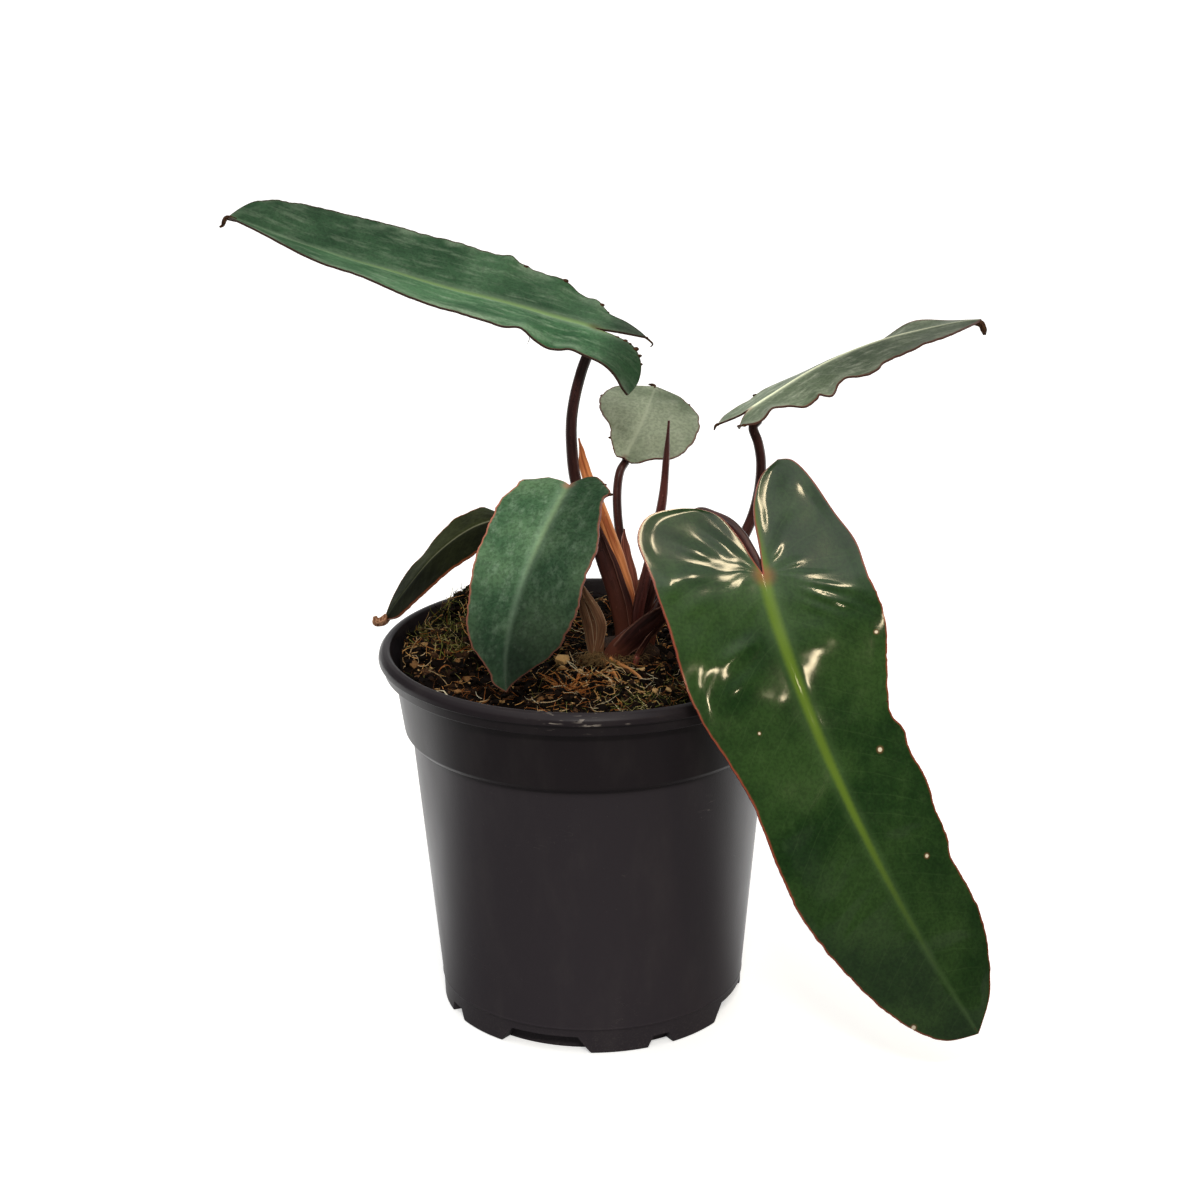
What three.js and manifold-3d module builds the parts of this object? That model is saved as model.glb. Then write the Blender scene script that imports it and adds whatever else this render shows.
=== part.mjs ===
// A young Philodendron billietiae in a black nursery pot, in millimetres, +Z up.
// The origin is the middle of the pot's standing face, on the surface that the pot stands on.
// +X is to the right of someone who looks at the plant's front, and +Y is away from them.
import * as THREE from 'three';
import { mergeGeometries, mergeVertices } from 'three/addons/utils/BufferGeometryUtils.js';
import Module from 'manifold-3d';

const wasm = await Module();
wasm.setup();

// Driving dimensions
const GAP = 0.3; // clearance between pieces that touch
const TURN_SIDES = 48; // sides of a round piece

const POT = {
  lipRadius: 75,
  mouthRadius: 70.8,
  height: 135.5,
  lipEdgeHeight: 131.6, // where the lip's rolled edge ends
  beadHeight: 127.4, // the second, smaller bead under the lip
  collarTopRadius: 69.3,
  collarBottomRadius: 66.4,
  ledgeHeight: 104.1, // the collar steps in here
  wallTopRadius: 63.8,
  ridgeHeight: 9.5, // the foot starts under this fine line
  footRadius: 54.6,
  plateRadius: 49.6, // the base plate behind the drain notches
  footInnerRadius: 46.4,
  wall: 1.5,
  floor: 2.2,
};

// Drain notches in the foot, by their middle angle from the front, to the right
const WIDE_NOTCHES = { first: -18.5, top: 26, bottom: 38, height: 6.5 };
const NARROW_NOTCHES = { first: 26.5, top: 6.5, bottom: 12, height: 4.5, holeFloor: 2.4 };
const NOTCHES_ROUND = 4;

const MIX = {
  level: 126.5, // height of the surface around the crown
  lumps: 0.9, // how far the lumps rise and sink
  mounds: [
    { x: -44, y: 36, rise: 7.5, reach: 26 },
    { x: 6, y: 62, rise: 3.5, reach: 22 },
    { x: 10, y: 0, rise: 1.6, reach: 22 },
  ],
  rings: 8,
};

const CROWN = { x: 12, y: 5.6, long: 14, deep: 12, bottom: 112, top: 133.5 };

const BLADE_THICKNESS = 0.7;

// A leaf blade. Its midrib runs from the notch at the stalk to the tip along a Bezier curve, and its
// upper face looks along facing, at the base and at the tip. Right and left are those of someone who
// stands on the upper face at the base and looks at the tip. Each half is drawn flat: [along, across]
// in millimetres from the notch, with the lobe behind the notch, then the margin from base to tip.
// fold lifts a half out of flat, in degrees, at the base, on the way and at the tip. twist turns the
// lobe's tip down by so many degrees. A ruffle of the margin is [along, lift, reach].
const LEAVES = {
  upper_left: {
    midrib: [[3.8, 13, 246.4], [-13, 15.5, 252], [-69, 26, 261.5], [-125, 32, 283.2]],
    facing: [[0, -0.2, 0.97], [0, -0.17, 0.98]],
    right: {
      fold: [-3, 12, 16, 22],
      lobe: { inner: [[-8, 2]], tip: [-17.4, 5], outer: [[-14, 9.5], [-8.5, 13]] },
      margin: [[-2, 14.8], [4, 19.5], [20, 24], [43, 25.5], [67, 25], [92, 23], [114, 19], [129, 12]],
      ruffles: [[4, 1.5, 3], [18, 2.2, 5], [38, 1.6, 3], [57, 0.8, 8]],
    },
    left: {
      fold: [0, 9, 14.5, 25],
      lobe: { inner: [[-7, 0.3], [-14, 2.3], [-17.5, 6.5]], tip: [-20, 12], outer: [[-20, 16.5], [-17.5, 21], [-12, 22.5]] },
      twist: 20,
      margin: [[-4, 22.5], [10, 23], [24, 24], [43, 24.5], [67, 25], [92, 23], [114, 19], [129, 12]],
      ruffles: [[4, 0.9, 3], [12, -1.6, 5], [23, 2.2, 4], [80, 0.8, 12]],
    },
    dryTip: { path: [[-122, 31.5, 282.3], [-125.5, 32, 282.8], [-127, 32, 280.2], [-128.2, 32, 279.6]], radius: 0.8 },
    ribs: 30,
    strips: 4,
  },
  upper_right: {
    midrib: [[58, 24, 213], [91, 33, 230], [113, 35, 235.5], [141.5, 38, 242]],
    facing: [[0, 0.07, 1], [0, 0.04, 1]],
    right: {
      fold: [-3, -4, -1],
      lobe: { inner: [[-4, 2.5]], tip: [-7.5, 7.5], outer: [[-5.5, 13]] },
      margin: [[0, 16], [13, 20], [29, 21.5], [45, 20.5], [61, 17.5], [74, 13], [84, 7]],
      ruffles: [[-6, 1.8, 3], [5, 2.2, 3], [15, -1.8, 4], [30, 2, 4], [48, -0.6, 6], [66, 0.8, 5]],
    },
    left: {
      fold: [-6, -8, -4],
      lobe: { inner: [[-5, 6]], tip: [-10, 13.5], outer: [[-6, 18]] },
      margin: [[0, 18], [13, 20], [29, 21], [45, 20.5], [61, 17.5], [74, 13.5], [84, 8]],
      ruffles: [[5, -0.8, 4], [42, 0.8, 5], [54, -0.8, 5], [79, 1.6, 5]],
    },
    dryTip: { path: [[139.5, 37.8, 241.2], [142, 38, 240.6], [143, 38, 239], [143.5, 38, 236.7]], radius: 0.9 },
    ribs: 30,
    strips: 3,
  },
  front_right: {
    midrib: [[59, -48, 175.5], [63.5, -68.5, 155], [88, -80, 90], [132, -82, 20.5]],
    facing: [[0.2, -0.78, 0.5], [0.25, -0.93, 0.23]],
    right: {
      fold: [8, 0, -8],
      lobe: { inner: [[-6, 3], [-13.5, 6], [-22, 11.5]], tip: [-25, 19], outer: [[-24.7, 28], [-21.5, 38], [-13, 42.8]] },
      margin: [[-1, 41], [16, 38.3], [28, 38.5], [40, 36.8], [55, 33], [70, 30.6], [94, 32.1], [112, 32],
        [129, 28.8], [148, 24], [164, 17.5], [173, 10.5]],
      ruffles: [],
    },
    left: {
      fold: [-1, -8, -15],
      lobe: {
        inner: [[-10, 0.8], [-22, 1.2], [-30, 3], [-38, 7]],
        tip: [-43.8, 14],
        outer: [[-43, 19.5], [-35, 24.8], [-22, 30], [-11, 35]],
      },
      margin: [[0, 36.5], [16, 38.2], [31, 37], [52, 30.5], [62, 28], [69, 30.3], [77, 29.2], [90, 30.2],
        [101, 28.4], [113, 27.6], [120, 25.3], [133, 25.9], [146, 24.7], [158, 20], [170, 11.7]],
      ruffles: [],
    },
    ribs: 36,
    strips: 5,
  },
  front_left: {
    midrib: [[-6, -12, 197], [-10.5, -29, 193.5], [-30.5, -51, 165.5], [-27.5, -61, 139]],
    facing: [[-0.13, -0.41, 0.9], [0, -0.6, 0.8]],
    right: {
      fold: [1, -0.5, -2],
      lobe: { inner: [[-1.8, 2.5]], tip: [-4, 8.5], outer: [[-2.4, 12]] },
      margin: [[0.7, 17], [8, 18.7], [15.6, 20.6], [26, 20], [36, 19.8], [44, 18.6], [53, 16.8], [62, 15],
        [68, 13], [74, 9.7], [79, 4.3]],
      ruffles: [[1, 0.8, 2], [33, -0.6, 3]],
    },
    left: {
      fold: [7, 2, -3],
      lobe: { inner: [[-1.5, 1.2]], tip: [-4.5, 5.5], outer: [[-4, 9]] },
      margin: [[1.5, 13.5], [5.5, 17], [8, 15.8], [15, 17.6], [21, 20], [28, 21.3], [34, 20.6], [45, 21.4],
        [51, 21.4], [60.5, 19], [68, 15], [74, 8.5], [78.5, 3]],
      ruffles: [[4, -0.8, 2.5], [12, 0.8, 3], [33, -0.6, 3]],
    },
    ribs: 28,
    strips: 4,
  },
  far_left: {
    midrib: [[-21, 6, 179], [-29, -1.5, 182], [-46, -2.5, 186.5], [-72, -5.5, 146]],
    facing: [[-0.1, -0.12, 0.99], [-0.7, -0.12, 0.7]],
    right: {
      fold: [-4.5, -4.5, -4.5],
      lobe: { inner: [[-3, 2.5]], tip: [-6.5, 7.5], outer: [[-5, 13]] },
      margin: [[0, 16.5], [10, 17.5], [20, 16.8], [33, 16.3], [41, 14], [50, 14.5], [57, 12.8], [63, 8]],
      ruffles: [[26, 0.6, 4], [44, -0.6, 4]],
    },
    left: {
      fold: [-5.5, -5.5, -6],
      lobe: { inner: [[-3, 2.5]], tip: [-6.5, 7.5], outer: [[-5, 13]] },
      margin: [[0, 16.5], [10, 17.5], [24, 17], [37, 16.8], [46, 15.4], [54, 13], [62, 9]],
      ruffles: [[29, -0.6, 4]],
    },
    dryTip: { path: [[-71, -5.4, 147.5], [-73, -5.8, 145.6], [-74.8, -6, 145.4], [-75.4, -6, 147.6]], radius: 1.1 },
    ribs: 18,
    strips: 3,
  },
  upper_middle: {
    midrib: [[13.3, 26, 195.8], [22.7, 38, 208.9], [22.3, 49.5, 209.2], [25.6, 62, 212.7]],
    facing: [[0.1, -0.5, 0.85], [0.1, -0.3, 0.95]],
    right: {
      fold: [-4, -3.5, -3],
      lobe: { inner: [[-0.4, 1.4]], tip: [-0.8, 3.2], outer: [[0.6, 5.8]] },
      margin: [[3, 8.5], [5.5, 12], [8, 15.8], [12, 18.7], [18, 20.3], [24, 20], [30, 17.8], [35, 13.8], [39.5, 9]],
      ruffles: [[3.5, 0.7, 1.8], [8, -0.7, 2]],
    },
    left: {
      fold: [0, -2, -3.5],
      lobe: { inner: [[-0.3, 1.2]], tip: [-0.7, 2.6], outer: [[0.3, 4]] },
      margin: [[2, 5.5], [5.5, 8], [9, 9.4], [12, 11.4], [16, 15], [23.5, 17.8], [30, 17.8], [36, 16], [39.5, 12.5]],
      ruffles: [[10, -0.7, 2]],
    },
    dryTip: { path: [[25.2, 61, 212.3], [25, 63.5, 212.8], [23, 65, 213]], radius: 0.6 },
    ribs: 20,
    strips: 3,
  },
};

// A stalk's path runs from its base in the crown to its seat under the blade. radii are the half
// widths of its section, evenly spaced from base to top, and depths are the same front to back.
const STALKS = {
  upper_left: {
    path: [[13.4, 7.4, 129.5], [13.4, 7.8, 136], [11, 8, 148], [5.8, 8.7, 164.7], [0.9, 9.8, 177.5], [-3.9, 11, 191.3],
      [-5.3, 12, 204.6], [-5.2, 12.5, 213.6], [-3.9, 13, 222], [-1.5, 13.2, 231], [1.2, 13.1, 239]],
    radii: [4, 3.5, 2.1, 1.95, 1.9],
    depths: [2.4, 2.2, 1.9, 1.9, 1.9],
    steps: 18,
  },
  upper_right: {
    path: [[20.8, 8.2, 129.5], [24, 9.3, 142], [31.5, 12, 151], [41, 15, 156], [51.1, 18, 161], [58, 21, 171.5],
      [61.3, 22.5, 182.5], [62.3, 23.2, 194], [61.2, 23.5, 201.5], [59.4, 23.8, 207.5]],
    radii: [2.6, 2.6, 2, 1.8, 1.7],
    depths: [2, 2, 1.8, 1.8, 1.7],
    steps: 18,
  },
  front_right: {
    path: [[8, -3, 130], [10.5, -3.8, 134], [18, -5, 141], [25.8, -7.5, 148.5], [30.5, -12, 164], [34, -20, 183],
      [38.5, -27.5, 191], [43.1, -31.2, 190.8], [48.2, -33, 188.8], [52, -35.6, 185.5], [55.1, -39.2, 181.2],
      [57.5, -42.8, 176.9]],
    radii: [3.4, 3.4, 2.2, 1.9, 1.8],
    depths: [2, 2, 1.9, 1.8, 1.8],
    steps: 20,
    behind: true,
  },
  front_left: {
    path: [[2.6, 0.6, 129.5], [3.2, -0.5, 136], [3, -1.2, 142], [0.2, -2, 148.5], [-3, -3, 154.5], [-6, -4.5, 170],
      [-6.3, -6.5, 184], [-6, -9, 191.5]],
    radii: [3.1, 2.9, 2, 1.7],
    depths: [1.8, 1.7, 1.7, 1.6],
    steps: 14,
  },
  far_left: {
    path: [[4, 9, 129.5], [0, 9.5, 142], [-8, 9.5, 158], [-16, 8.5, 170]],
    radii: [2.2, 2, 1.6, 1.4],
    depths: [2, 1.8, 1.6, 1.4],
    steps: 12,
  },
  upper_middle: {
    path: [[17, 14.3, 129.5], [16, 15.7, 144.7], [14.4, 17, 154], [12, 18.8, 166.2], [10.8, 21, 176.5],
      [10.8, 23.4, 185], [11.9, 25.6, 191]],
    radii: [2, 1.8, 1.6, 1.5],
    depths: [1.9, 1.8, 1.6, 1.5],
    steps: 14,
  },
};

// The rolled new leaf, and the dry papery sheaths that stand behind two stalks. hollow bends a
// sheath's edges back, and looks is the way that its face looks.
const SPEAR = {
  path: [[16.6, 2.6, 130.5], [17.7, 3.6, 144.5], [19.5, 4.5, 153], [22.1, 5, 164], [25.3, 5, 179], [26.8, 5, 188],
    [27.9, 5, 201], [28.9, 5, 215]],
  radii: [2, 2, 1.9, 1.6, 0.45],
  depths: [1.9, 1.9, 1.8, 1.5, 0.45],
  steps: 14,
};
const SHEATHS = {
  sheath_upper_left: {
    path: [[13.6, 11, 131], [13.9, 11.2, 148], [12.2, 11.5, 156], [9.3, 12, 165.6], [5.3, 13, 175], [0.6, 14.4, 191],
      [-1.9, 15.3, 200.2], [-3.2, 15.8, 206.8]],
    widths: [1.9, 2.2, 3.1, 3.1, 2.8, 0.4],
    looks: [0.1, -1, 0.1],
    hollow: 0.05,
  },
  sheath_upper_middle: {
    path: [[18.8, 11.4, 131], [18.4, 12.1, 142], [16.8, 13.3, 150], [15, 14.5, 158], [12.9, 16, 166], [11.7, 17, 172.2]],
    widths: [1.4, 1.7, 2.3, 2, 0.4],
    looks: [0.1, -1, 0.1],
    hollow: 0.05,
  },
};

// Finishes
const finish = (color, roughness) => new THREE.MeshStandardMaterial({ color, roughness, metalness: 0 });
const POT_PLASTIC = finish(0x26262a, 0.5);
const POTTING_MIX = finish(0x2b1d14, 0.95);
const CROWN_FIBRE = finish(0x6b4a2c, 0.85);
const STALK_SKIN = finish(0x3d1f22, 0.45);
const PALE_STALK_SKIN = finish(0x6a5136, 0.5);
const SPEAR_SKIN = finish(0x4a1b1c, 0.4);
const DRY_SHEATH = finish(0xa8603a, 0.7);
const leafFinish = {
  upper_left: finish(0x2c5138, 0.4),
  upper_right: finish(0x5f7a62, 0.4),
  front_right: finish(0x1d4220, 0.2),
  front_left: finish(0x2e4c3c, 0.5),
  far_left: finish(0x2e3f22, 0.5),
  upper_middle: finish(0x6d8a72, 0.45),
};

const plant = new THREE.Group();

function add(name, geometry, material) {
  const mesh = new THREE.Mesh(geometry, material);
  mesh.name = name;
  plant.add(mesh);
}

// Vertices that lie on each other become one, so that the faces join.
function weld(geometry) {
  const bare = geometry.clone();
  bare.deleteAttribute('normal');
  bare.deleteAttribute('uv');
  return mergeVertices(bare, 1e-3);
}

function toSolid(geometry) {
  const welded = weld(geometry);
  const vertProperties = welded.attributes.position.array;
  const triVerts = new Uint32Array(welded.index.array);
  return new wasm.Manifold(new wasm.Mesh({ numProp: 3, vertProperties, triVerts }));
}

function toGeometry(solid) {
  const { vertProperties, triVerts } = solid.getMesh();
  const geometry = new THREE.BufferGeometry();
  geometry.setAttribute('position', new THREE.BufferAttribute(vertProperties, 3));
  geometry.setIndex(new THREE.BufferAttribute(triVerts, 1));
  return geometry;
}

const vector = (xyz) => new THREE.Vector3(...xyz);
const flat = ([along, across]) => new THREE.Vector2(along, across);

// The value of a short list of evenly spaced values at a share t of the way along it.
function along(values, t) {
  const place = Math.min(t, 0.9999) * (values.length - 1);
  const low = Math.floor(place);
  return THREE.MathUtils.lerp(values[low], values[low + 1], THREE.MathUtils.smoothstep(place - low, 0, 1));
}

// Gives an open sheet a thickness: two skins with the same triangles and a wall along the free edge.
function thicken(sheet, thickness) {
  sheet.computeVertexNormals();
  const place = sheet.attributes.position;
  const normal = sheet.attributes.normal;
  const count = place.count;
  const points = [];
  for (const side of [0.5, -0.5]) {
    for (let i = 0; i < count; i++) {
      const out = new THREE.Vector3().fromBufferAttribute(normal, i).multiplyScalar(side * thickness);
      points.push(...out.add(new THREE.Vector3().fromBufferAttribute(place, i)));
    }
  }
  const faces = [];
  const edges = new Map();
  const corners = sheet.index.array;
  for (let i = 0; i < corners.length; i += 3) {
    const [a, b, c] = [corners[i], corners[i + 1], corners[i + 2]];
    if (a === b || b === c || c === a) continue;
    faces.push(a, b, c, count + a, count + c, count + b);
    for (const [from, to] of [[a, b], [b, c], [c, a]]) {
      if (!edges.delete(`${to} ${from}`)) edges.set(`${from} ${to}`, [from, to]);
    }
  }
  for (const [from, to] of edges.values()) {
    faces.push(to, from, count + from, to, count + from, count + to);
  }
  const solid = new THREE.BufferGeometry();
  solid.setAttribute('position', new THREE.Float32BufferAttribute(points, 3));
  solid.setIndex(faces);
  return solid;
}

// The surface of a leaf blade: where a point of its flat outline lies in space.
class BladeSurface {
  constructor({ midrib, facing }) {
    this.midrib = new THREE.CubicBezierCurve3(...midrib.map(vector));
    this.facing = facing.map(vector);
    this.length = this.midrib.getLength();
  }

  // The midrib's place, its direction, the way across to the right half, and the way up.
  frame(distance) {
    const t = THREE.MathUtils.clamp(distance / this.length, 0, 1);
    const ahead = this.midrib.getTangentAt(t);
    const facing = this.facing[0].clone().lerp(this.facing[1], t);
    const across = ahead.clone().cross(facing).normalize();
    const up = across.clone().cross(ahead);
    const place = this.midrib.getPointAt(t).addScaledVector(ahead, Math.min(distance, 0));
    return { t, place, ahead, across, up };
  }

  point(distance, width, share, side, half) {
    const { t, place, across, up } = this.frame(distance);
    const turn = (half.twist ?? 0) * (Math.min(distance, 0) / half.lobe.tip[0]) ** 3;
    const fold = THREE.MathUtils.degToRad(along(half.fold, t) - turn);
    let lift = width * Math.sin(fold);
    for (const [at, rise, reach] of half.ruffles) {
      lift += rise * share ** 2 * Math.exp(-(((distance - at) / reach) ** 2));
    }
    return place.addScaledVector(across, side * width * Math.cos(fold)).addScaledVector(up, lift);
  }
}

// How wide a margin stands at a distance along the midrib.
function widthAt(margin, distance) {
  let low = 0;
  let high = 1;
  for (let i = 0; i < 20; i++) {
    const middle = (low + high) / 2;
    if (margin.getPoint(middle).x < distance) low = middle;
    else high = middle;
  }
  return margin.getPoint(low).y;
}

// One half of a blade: rows that run from the lobe's inner edge, then from the midrib, to the margin.
function halfBlade(surface, half, side, ribs, strips) {
  const { lobe, margin } = half;
  const inner = new THREE.SplineCurve([lobe.tip, ...[...lobe.inner].reverse(), [0, 0]].map(flat));
  const outer = new THREE.SplineCurve([lobe.tip, ...lobe.outer, margin[0], margin[1]].map(flat));
  const outerShare = (lobe.outer.length + 1) / (lobe.outer.length + 2);
  const edge = new THREE.SplineCurve([lobe.outer.at(-1), ...margin, [surface.length, 0]].map(flat));
  const lobeRibs = Math.max(4, Math.round(ribs / 4));
  const rows = [];
  for (let i = 0; i <= lobeRibs; i++) {
    const s = Math.sin((Math.PI / 2) * (i / lobeRibs)) ** 2;
    rows.push([inner.getPoint(s), outer.getPoint(s * outerShare)]);
  }
  for (let i = 1; i <= ribs; i++) {
    const u = i / ribs;
    const distance = (surface.length * (u + Math.sin((Math.PI / 2) * u))) / 2;
    rows.push([new THREE.Vector2(distance, 0), new THREE.Vector2(distance, i < ribs ? widthAt(edge, distance) : 0)]);
  }
  const sheet = new THREE.PlaneGeometry(1, 1, strips, rows.length - 1);
  const place = sheet.attributes.position;
  for (let i = 0; i < place.count; i++) {
    const share = side > 0 ? place.getX(i) + 0.5 : 0.5 - place.getX(i);
    const [from, to] = rows[Math.round((place.getY(i) + 0.5) * (rows.length - 1))];
    const spot = from.clone().lerp(to, share);
    place.setXYZ(i, ...surface.point(spot.x, Math.max(spot.y, 0), share, side, half));
  }
  return sheet;
}

function bladeGeometry(leaf) {
  const surface = new BladeSurface(leaf);
  const halves = [
    halfBlade(surface, leaf.right, 1, leaf.ribs, leaf.strips),
    halfBlade(surface, leaf.left, -1, leaf.ribs, leaf.strips),
  ];
  const blade = thicken(weld(mergeGeometries(halves)), BLADE_THICKNESS);
  if (!leaf.dryTip) return blade;
  const { path, radius } = leaf.dryTip;
  const curl = rod({ path, radii: [radius, radius * 0.9, radius * 0.5], steps: 4, sides: 6 });
  return toGeometry(toSolid(blade).add(toSolid(curl)));
}

// A tapered rod of oval section along a path. grow makes it fatter and longer at its base.
function rod({ path, radii, depths = radii, broad = [0, -1, 0.2], steps, sides = 10 }, grow = 0) {
  const curve = new THREE.CatmullRomCurve3(path.map(vector));
  const broadside = vector(broad);
  const geometry = new THREE.CylinderGeometry(1, 1, 1, sides, steps);
  const place = geometry.attributes.position;
  for (let i = 0; i < place.count; i++) {
    const t = THREE.MathUtils.clamp(place.getY(i) + 0.5, 0, 1);
    const ahead = curve.getTangentAt(t);
    const across = ahead.clone().cross(broadside).normalize();
    const front = across.clone().cross(ahead);
    const spot = curve.getPointAt(t);
    spot.addScaledVector(across, place.getX(i) * (along(radii, t) + grow));
    spot.addScaledVector(front, place.getZ(i) * (along(depths, t) + grow));
    if (t === 0) spot.addScaledVector(ahead, -grow);
    place.setXYZ(i, ...spot);
  }
  return geometry;
}

// A papery sheath: a narrow trough along its path. grow makes it fatter and longer at its base.
function sheathGeometry({ path, widths, looks, hollow }, grow = 0) {
  const curve = new THREE.CatmullRomCurve3(path.map(vector));
  const sheet = new THREE.PlaneGeometry(1, 1, 4, 14);
  const place = sheet.attributes.position;
  for (let i = 0; i < place.count; i++) {
    const t = place.getY(i) + 0.5;
    const ahead = curve.getTangentAt(t);
    const across = ahead.clone().cross(vector(looks)).normalize();
    const out = across.clone().cross(ahead);
    const offset = place.getX(i) * 2 * (along(widths, t) + grow);
    const spot = curve.getPointAt(t).addScaledVector(across, offset);
    if (t === 0) spot.addScaledVector(ahead, -grow);
    place.setXYZ(i, ...spot.addScaledVector(out, -hollow * offset ** 2));
  }
  return thicken(weld(sheet), BLADE_THICKNESS + 2 * grow);
}

// Seats each stalk just under its blade: from below, or from behind where the stalk arches over.
function stalkSpec(name) {
  const { place, ahead, up } = new BladeSurface(LEAVES[name]).frame(0);
  const stalk = STALKS[name];
  const top = stalk.radii.at(-1);
  const clear = BLADE_THICKNESS / 2 + GAP;
  if (stalk.behind) {
    const seat = place.addScaledVector(up, -(clear + 1.05 * top)).addScaledVector(ahead, top);
    return { ...stalk, path: [...stalk.path, seat.toArray()] };
  }
  const seat = place.addScaledVector(up, -clear - 0.15).addScaledVector(ahead, top * 0.8);
  const below = seat.clone().addScaledVector(up, -3.5);
  return { ...stalk, path: [...stalk.path, below.toArray(), seat.toArray()] };
}

// The pot: turned from its section, with its drain notches cut from the foot.
function potProfile() {
  const p = POT;
  const wallFoot = p.footRadius + 0.6;
  return [
    [0, 0],
    [p.footRadius - 0.4, 0],
    [p.footRadius, 0.5],
    [p.footRadius + 0.3, p.ridgeHeight - 0.5],
    [wallFoot + 0.2, p.ridgeHeight],
    [wallFoot, p.ridgeHeight + 0.6],
    [p.wallTopRadius, p.ledgeHeight - 0.1],
    [p.collarBottomRadius - 1.1, p.ledgeHeight],
    [p.collarBottomRadius, p.ledgeHeight + 1.6],
    [p.collarTopRadius, p.beadHeight - 1.4],
    [p.collarTopRadius + 0.7, p.beadHeight - 0.9],
    [p.lipRadius - 2, p.beadHeight],
    [p.lipRadius - 1.5, p.lipEdgeHeight - 0.6],
    [p.lipRadius, p.lipEdgeHeight],
    [p.lipRadius - 0.4, p.height - 2],
    [p.lipRadius - 1.6, p.height - 0.5],
    [p.mouthRadius + 1, p.height],
    [p.mouthRadius, p.height - 0.5],
    [p.mouthRadius - 0.7, p.height - 3],
    [p.collarTopRadius - p.wall, p.beadHeight],
    [p.collarBottomRadius - p.wall, p.ledgeHeight + 1.2],
    [p.wallTopRadius - p.wall, p.ledgeHeight - 1.2],
    [wallFoot - p.wall, p.ridgeHeight + 1],
    [p.footInnerRadius, p.ridgeHeight - 1.5],
    [p.footInnerRadius, p.floor],
    [0, p.floor],
  ].map(([radius, height]) => new THREE.Vector2(radius, height));
}

// A lathe turns about Y, so the turned piece is stood up along Z.
function turned(profile, sides) {
  return new THREE.LatheGeometry(profile, sides).rotateX(Math.PI / 2);
}

// A drain notch: a wedge between two radii, wider below than above, at an angle from the front.
function notchCutter({ middle, top, bottom, height, from, base }) {
  const reach = POT.footRadius + 6;
  const wedge = new THREE.BoxGeometry(1, 1, 1, 12, 1, 1);
  const place = wedge.attributes.position;
  for (let i = 0; i < place.count; i++) {
    const upper = place.getZ(i) > 0;
    const angle = THREE.MathUtils.degToRad(middle + place.getX(i) * (upper ? top : bottom));
    const radius = place.getY(i) < 0 ? reach : from;
    place.setXYZ(i, radius * Math.sin(angle), -radius * Math.cos(angle), upper ? height : base);
  }
  return toSolid(wedge);
}

function potGeometry() {
  let pot = toSolid(turned(potProfile(), TURN_SIDES));
  for (let k = 0; k < NOTCHES_ROUND; k++) {
    const turn = (360 / NOTCHES_ROUND) * k;
    const wide = { ...WIDE_NOTCHES, middle: WIDE_NOTCHES.first + turn, from: POT.plateRadius, base: -1 };
    const narrow = { ...NARROW_NOTCHES, middle: NARROW_NOTCHES.first + turn, from: POT.plateRadius, base: -1 };
    const hole = { ...narrow, bottom: NARROW_NOTCHES.top, from: POT.footInnerRadius - 2, base: NARROW_NOTCHES.holeFloor };
    for (const cut of [wide, narrow, hole]) pot = pot.subtract(notchCutter(cut));
  }
  return toGeometry(pot);
}

// How high the mix stands at a place: a lumpy surface with low mounds.
function mixHeight(x, y) {
  const lumps = Math.sin(x * 0.31 + 1.3) * Math.cos(y * 0.27 - 0.6) + 0.7 * Math.sin(x * 0.13 - y * 0.36 + 2.1);
  let height = MIX.level + MIX.lumps * lumps;
  for (const { x: mx, y: my, rise, reach } of MIX.mounds) {
    height += rise * Math.exp(-((x - mx) ** 2 + (y - my) ** 2) / reach ** 2);
  }
  return height;
}

function mixGeometry() {
  const p = POT;
  const foot = p.footInnerRadius - GAP;
  const bottom = p.floor + GAP;
  const wallBottom = p.footRadius + 0.6 - p.wall - GAP;
  const wallTop = p.wallTopRadius - p.wall - GAP;
  const collar = p.collarBottomRadius - p.wall - GAP;
  const edge = p.collarTopRadius - p.wall - 1.5 * GAP;
  const profile = [
    [0, bottom],
    [foot, bottom],
    [foot, p.ridgeHeight - 1.4],
    [wallBottom, p.ridgeHeight + 1.2],
    [wallTop, p.ledgeHeight - 1],
    [collar, p.ledgeHeight + 1.6],
    [edge - 0.7, MIX.level - 4],
  ];
  for (let ring = 0; ring < MIX.rings; ring++) {
    profile.push([edge * (1 - ring / MIX.rings), MIX.level]);
  }
  profile.push([0, MIX.level]);
  const block = turned(profile.map(([r, z]) => new THREE.Vector2(r, z)), TURN_SIDES);
  const place = block.attributes.position;
  for (let i = 0; i < place.count; i++) {
    if (place.getZ(i) > MIX.level - 0.01) place.setZ(i, mixHeight(place.getX(i), place.getY(i)));
  }
  return toGeometry(toSolid(block).subtract(toSolid(crownBody(GAP, 40))));
}

// The crown: a short oval stump that leans back a little. Its hole in the mix is the same shape, grown.
function crownBody(grow, extra = 0) {
  const { long, bottom, top } = CROWN;
  const mouth = MIX.level - 1;
  const profile = extra
    ? [[0, bottom - grow], [long * 0.8 + grow, bottom - grow], [long + grow, mouth], [long + grow, mouth + extra], [0, mouth + extra]]
    : [[0, bottom], [long * 0.8, bottom], [long, mouth], [long * 0.96, top - 4], [long * 0.72, top - 1], [0, top]];
  const body = turned(profile.map(([r, z]) => new THREE.Vector2(r, z)), 20);
  const shape = body.scale(1, (CROWN.deep + grow) / (long + grow), 1);
  return shape.translate(CROWN.x, CROWN.y, 0);
}

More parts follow.
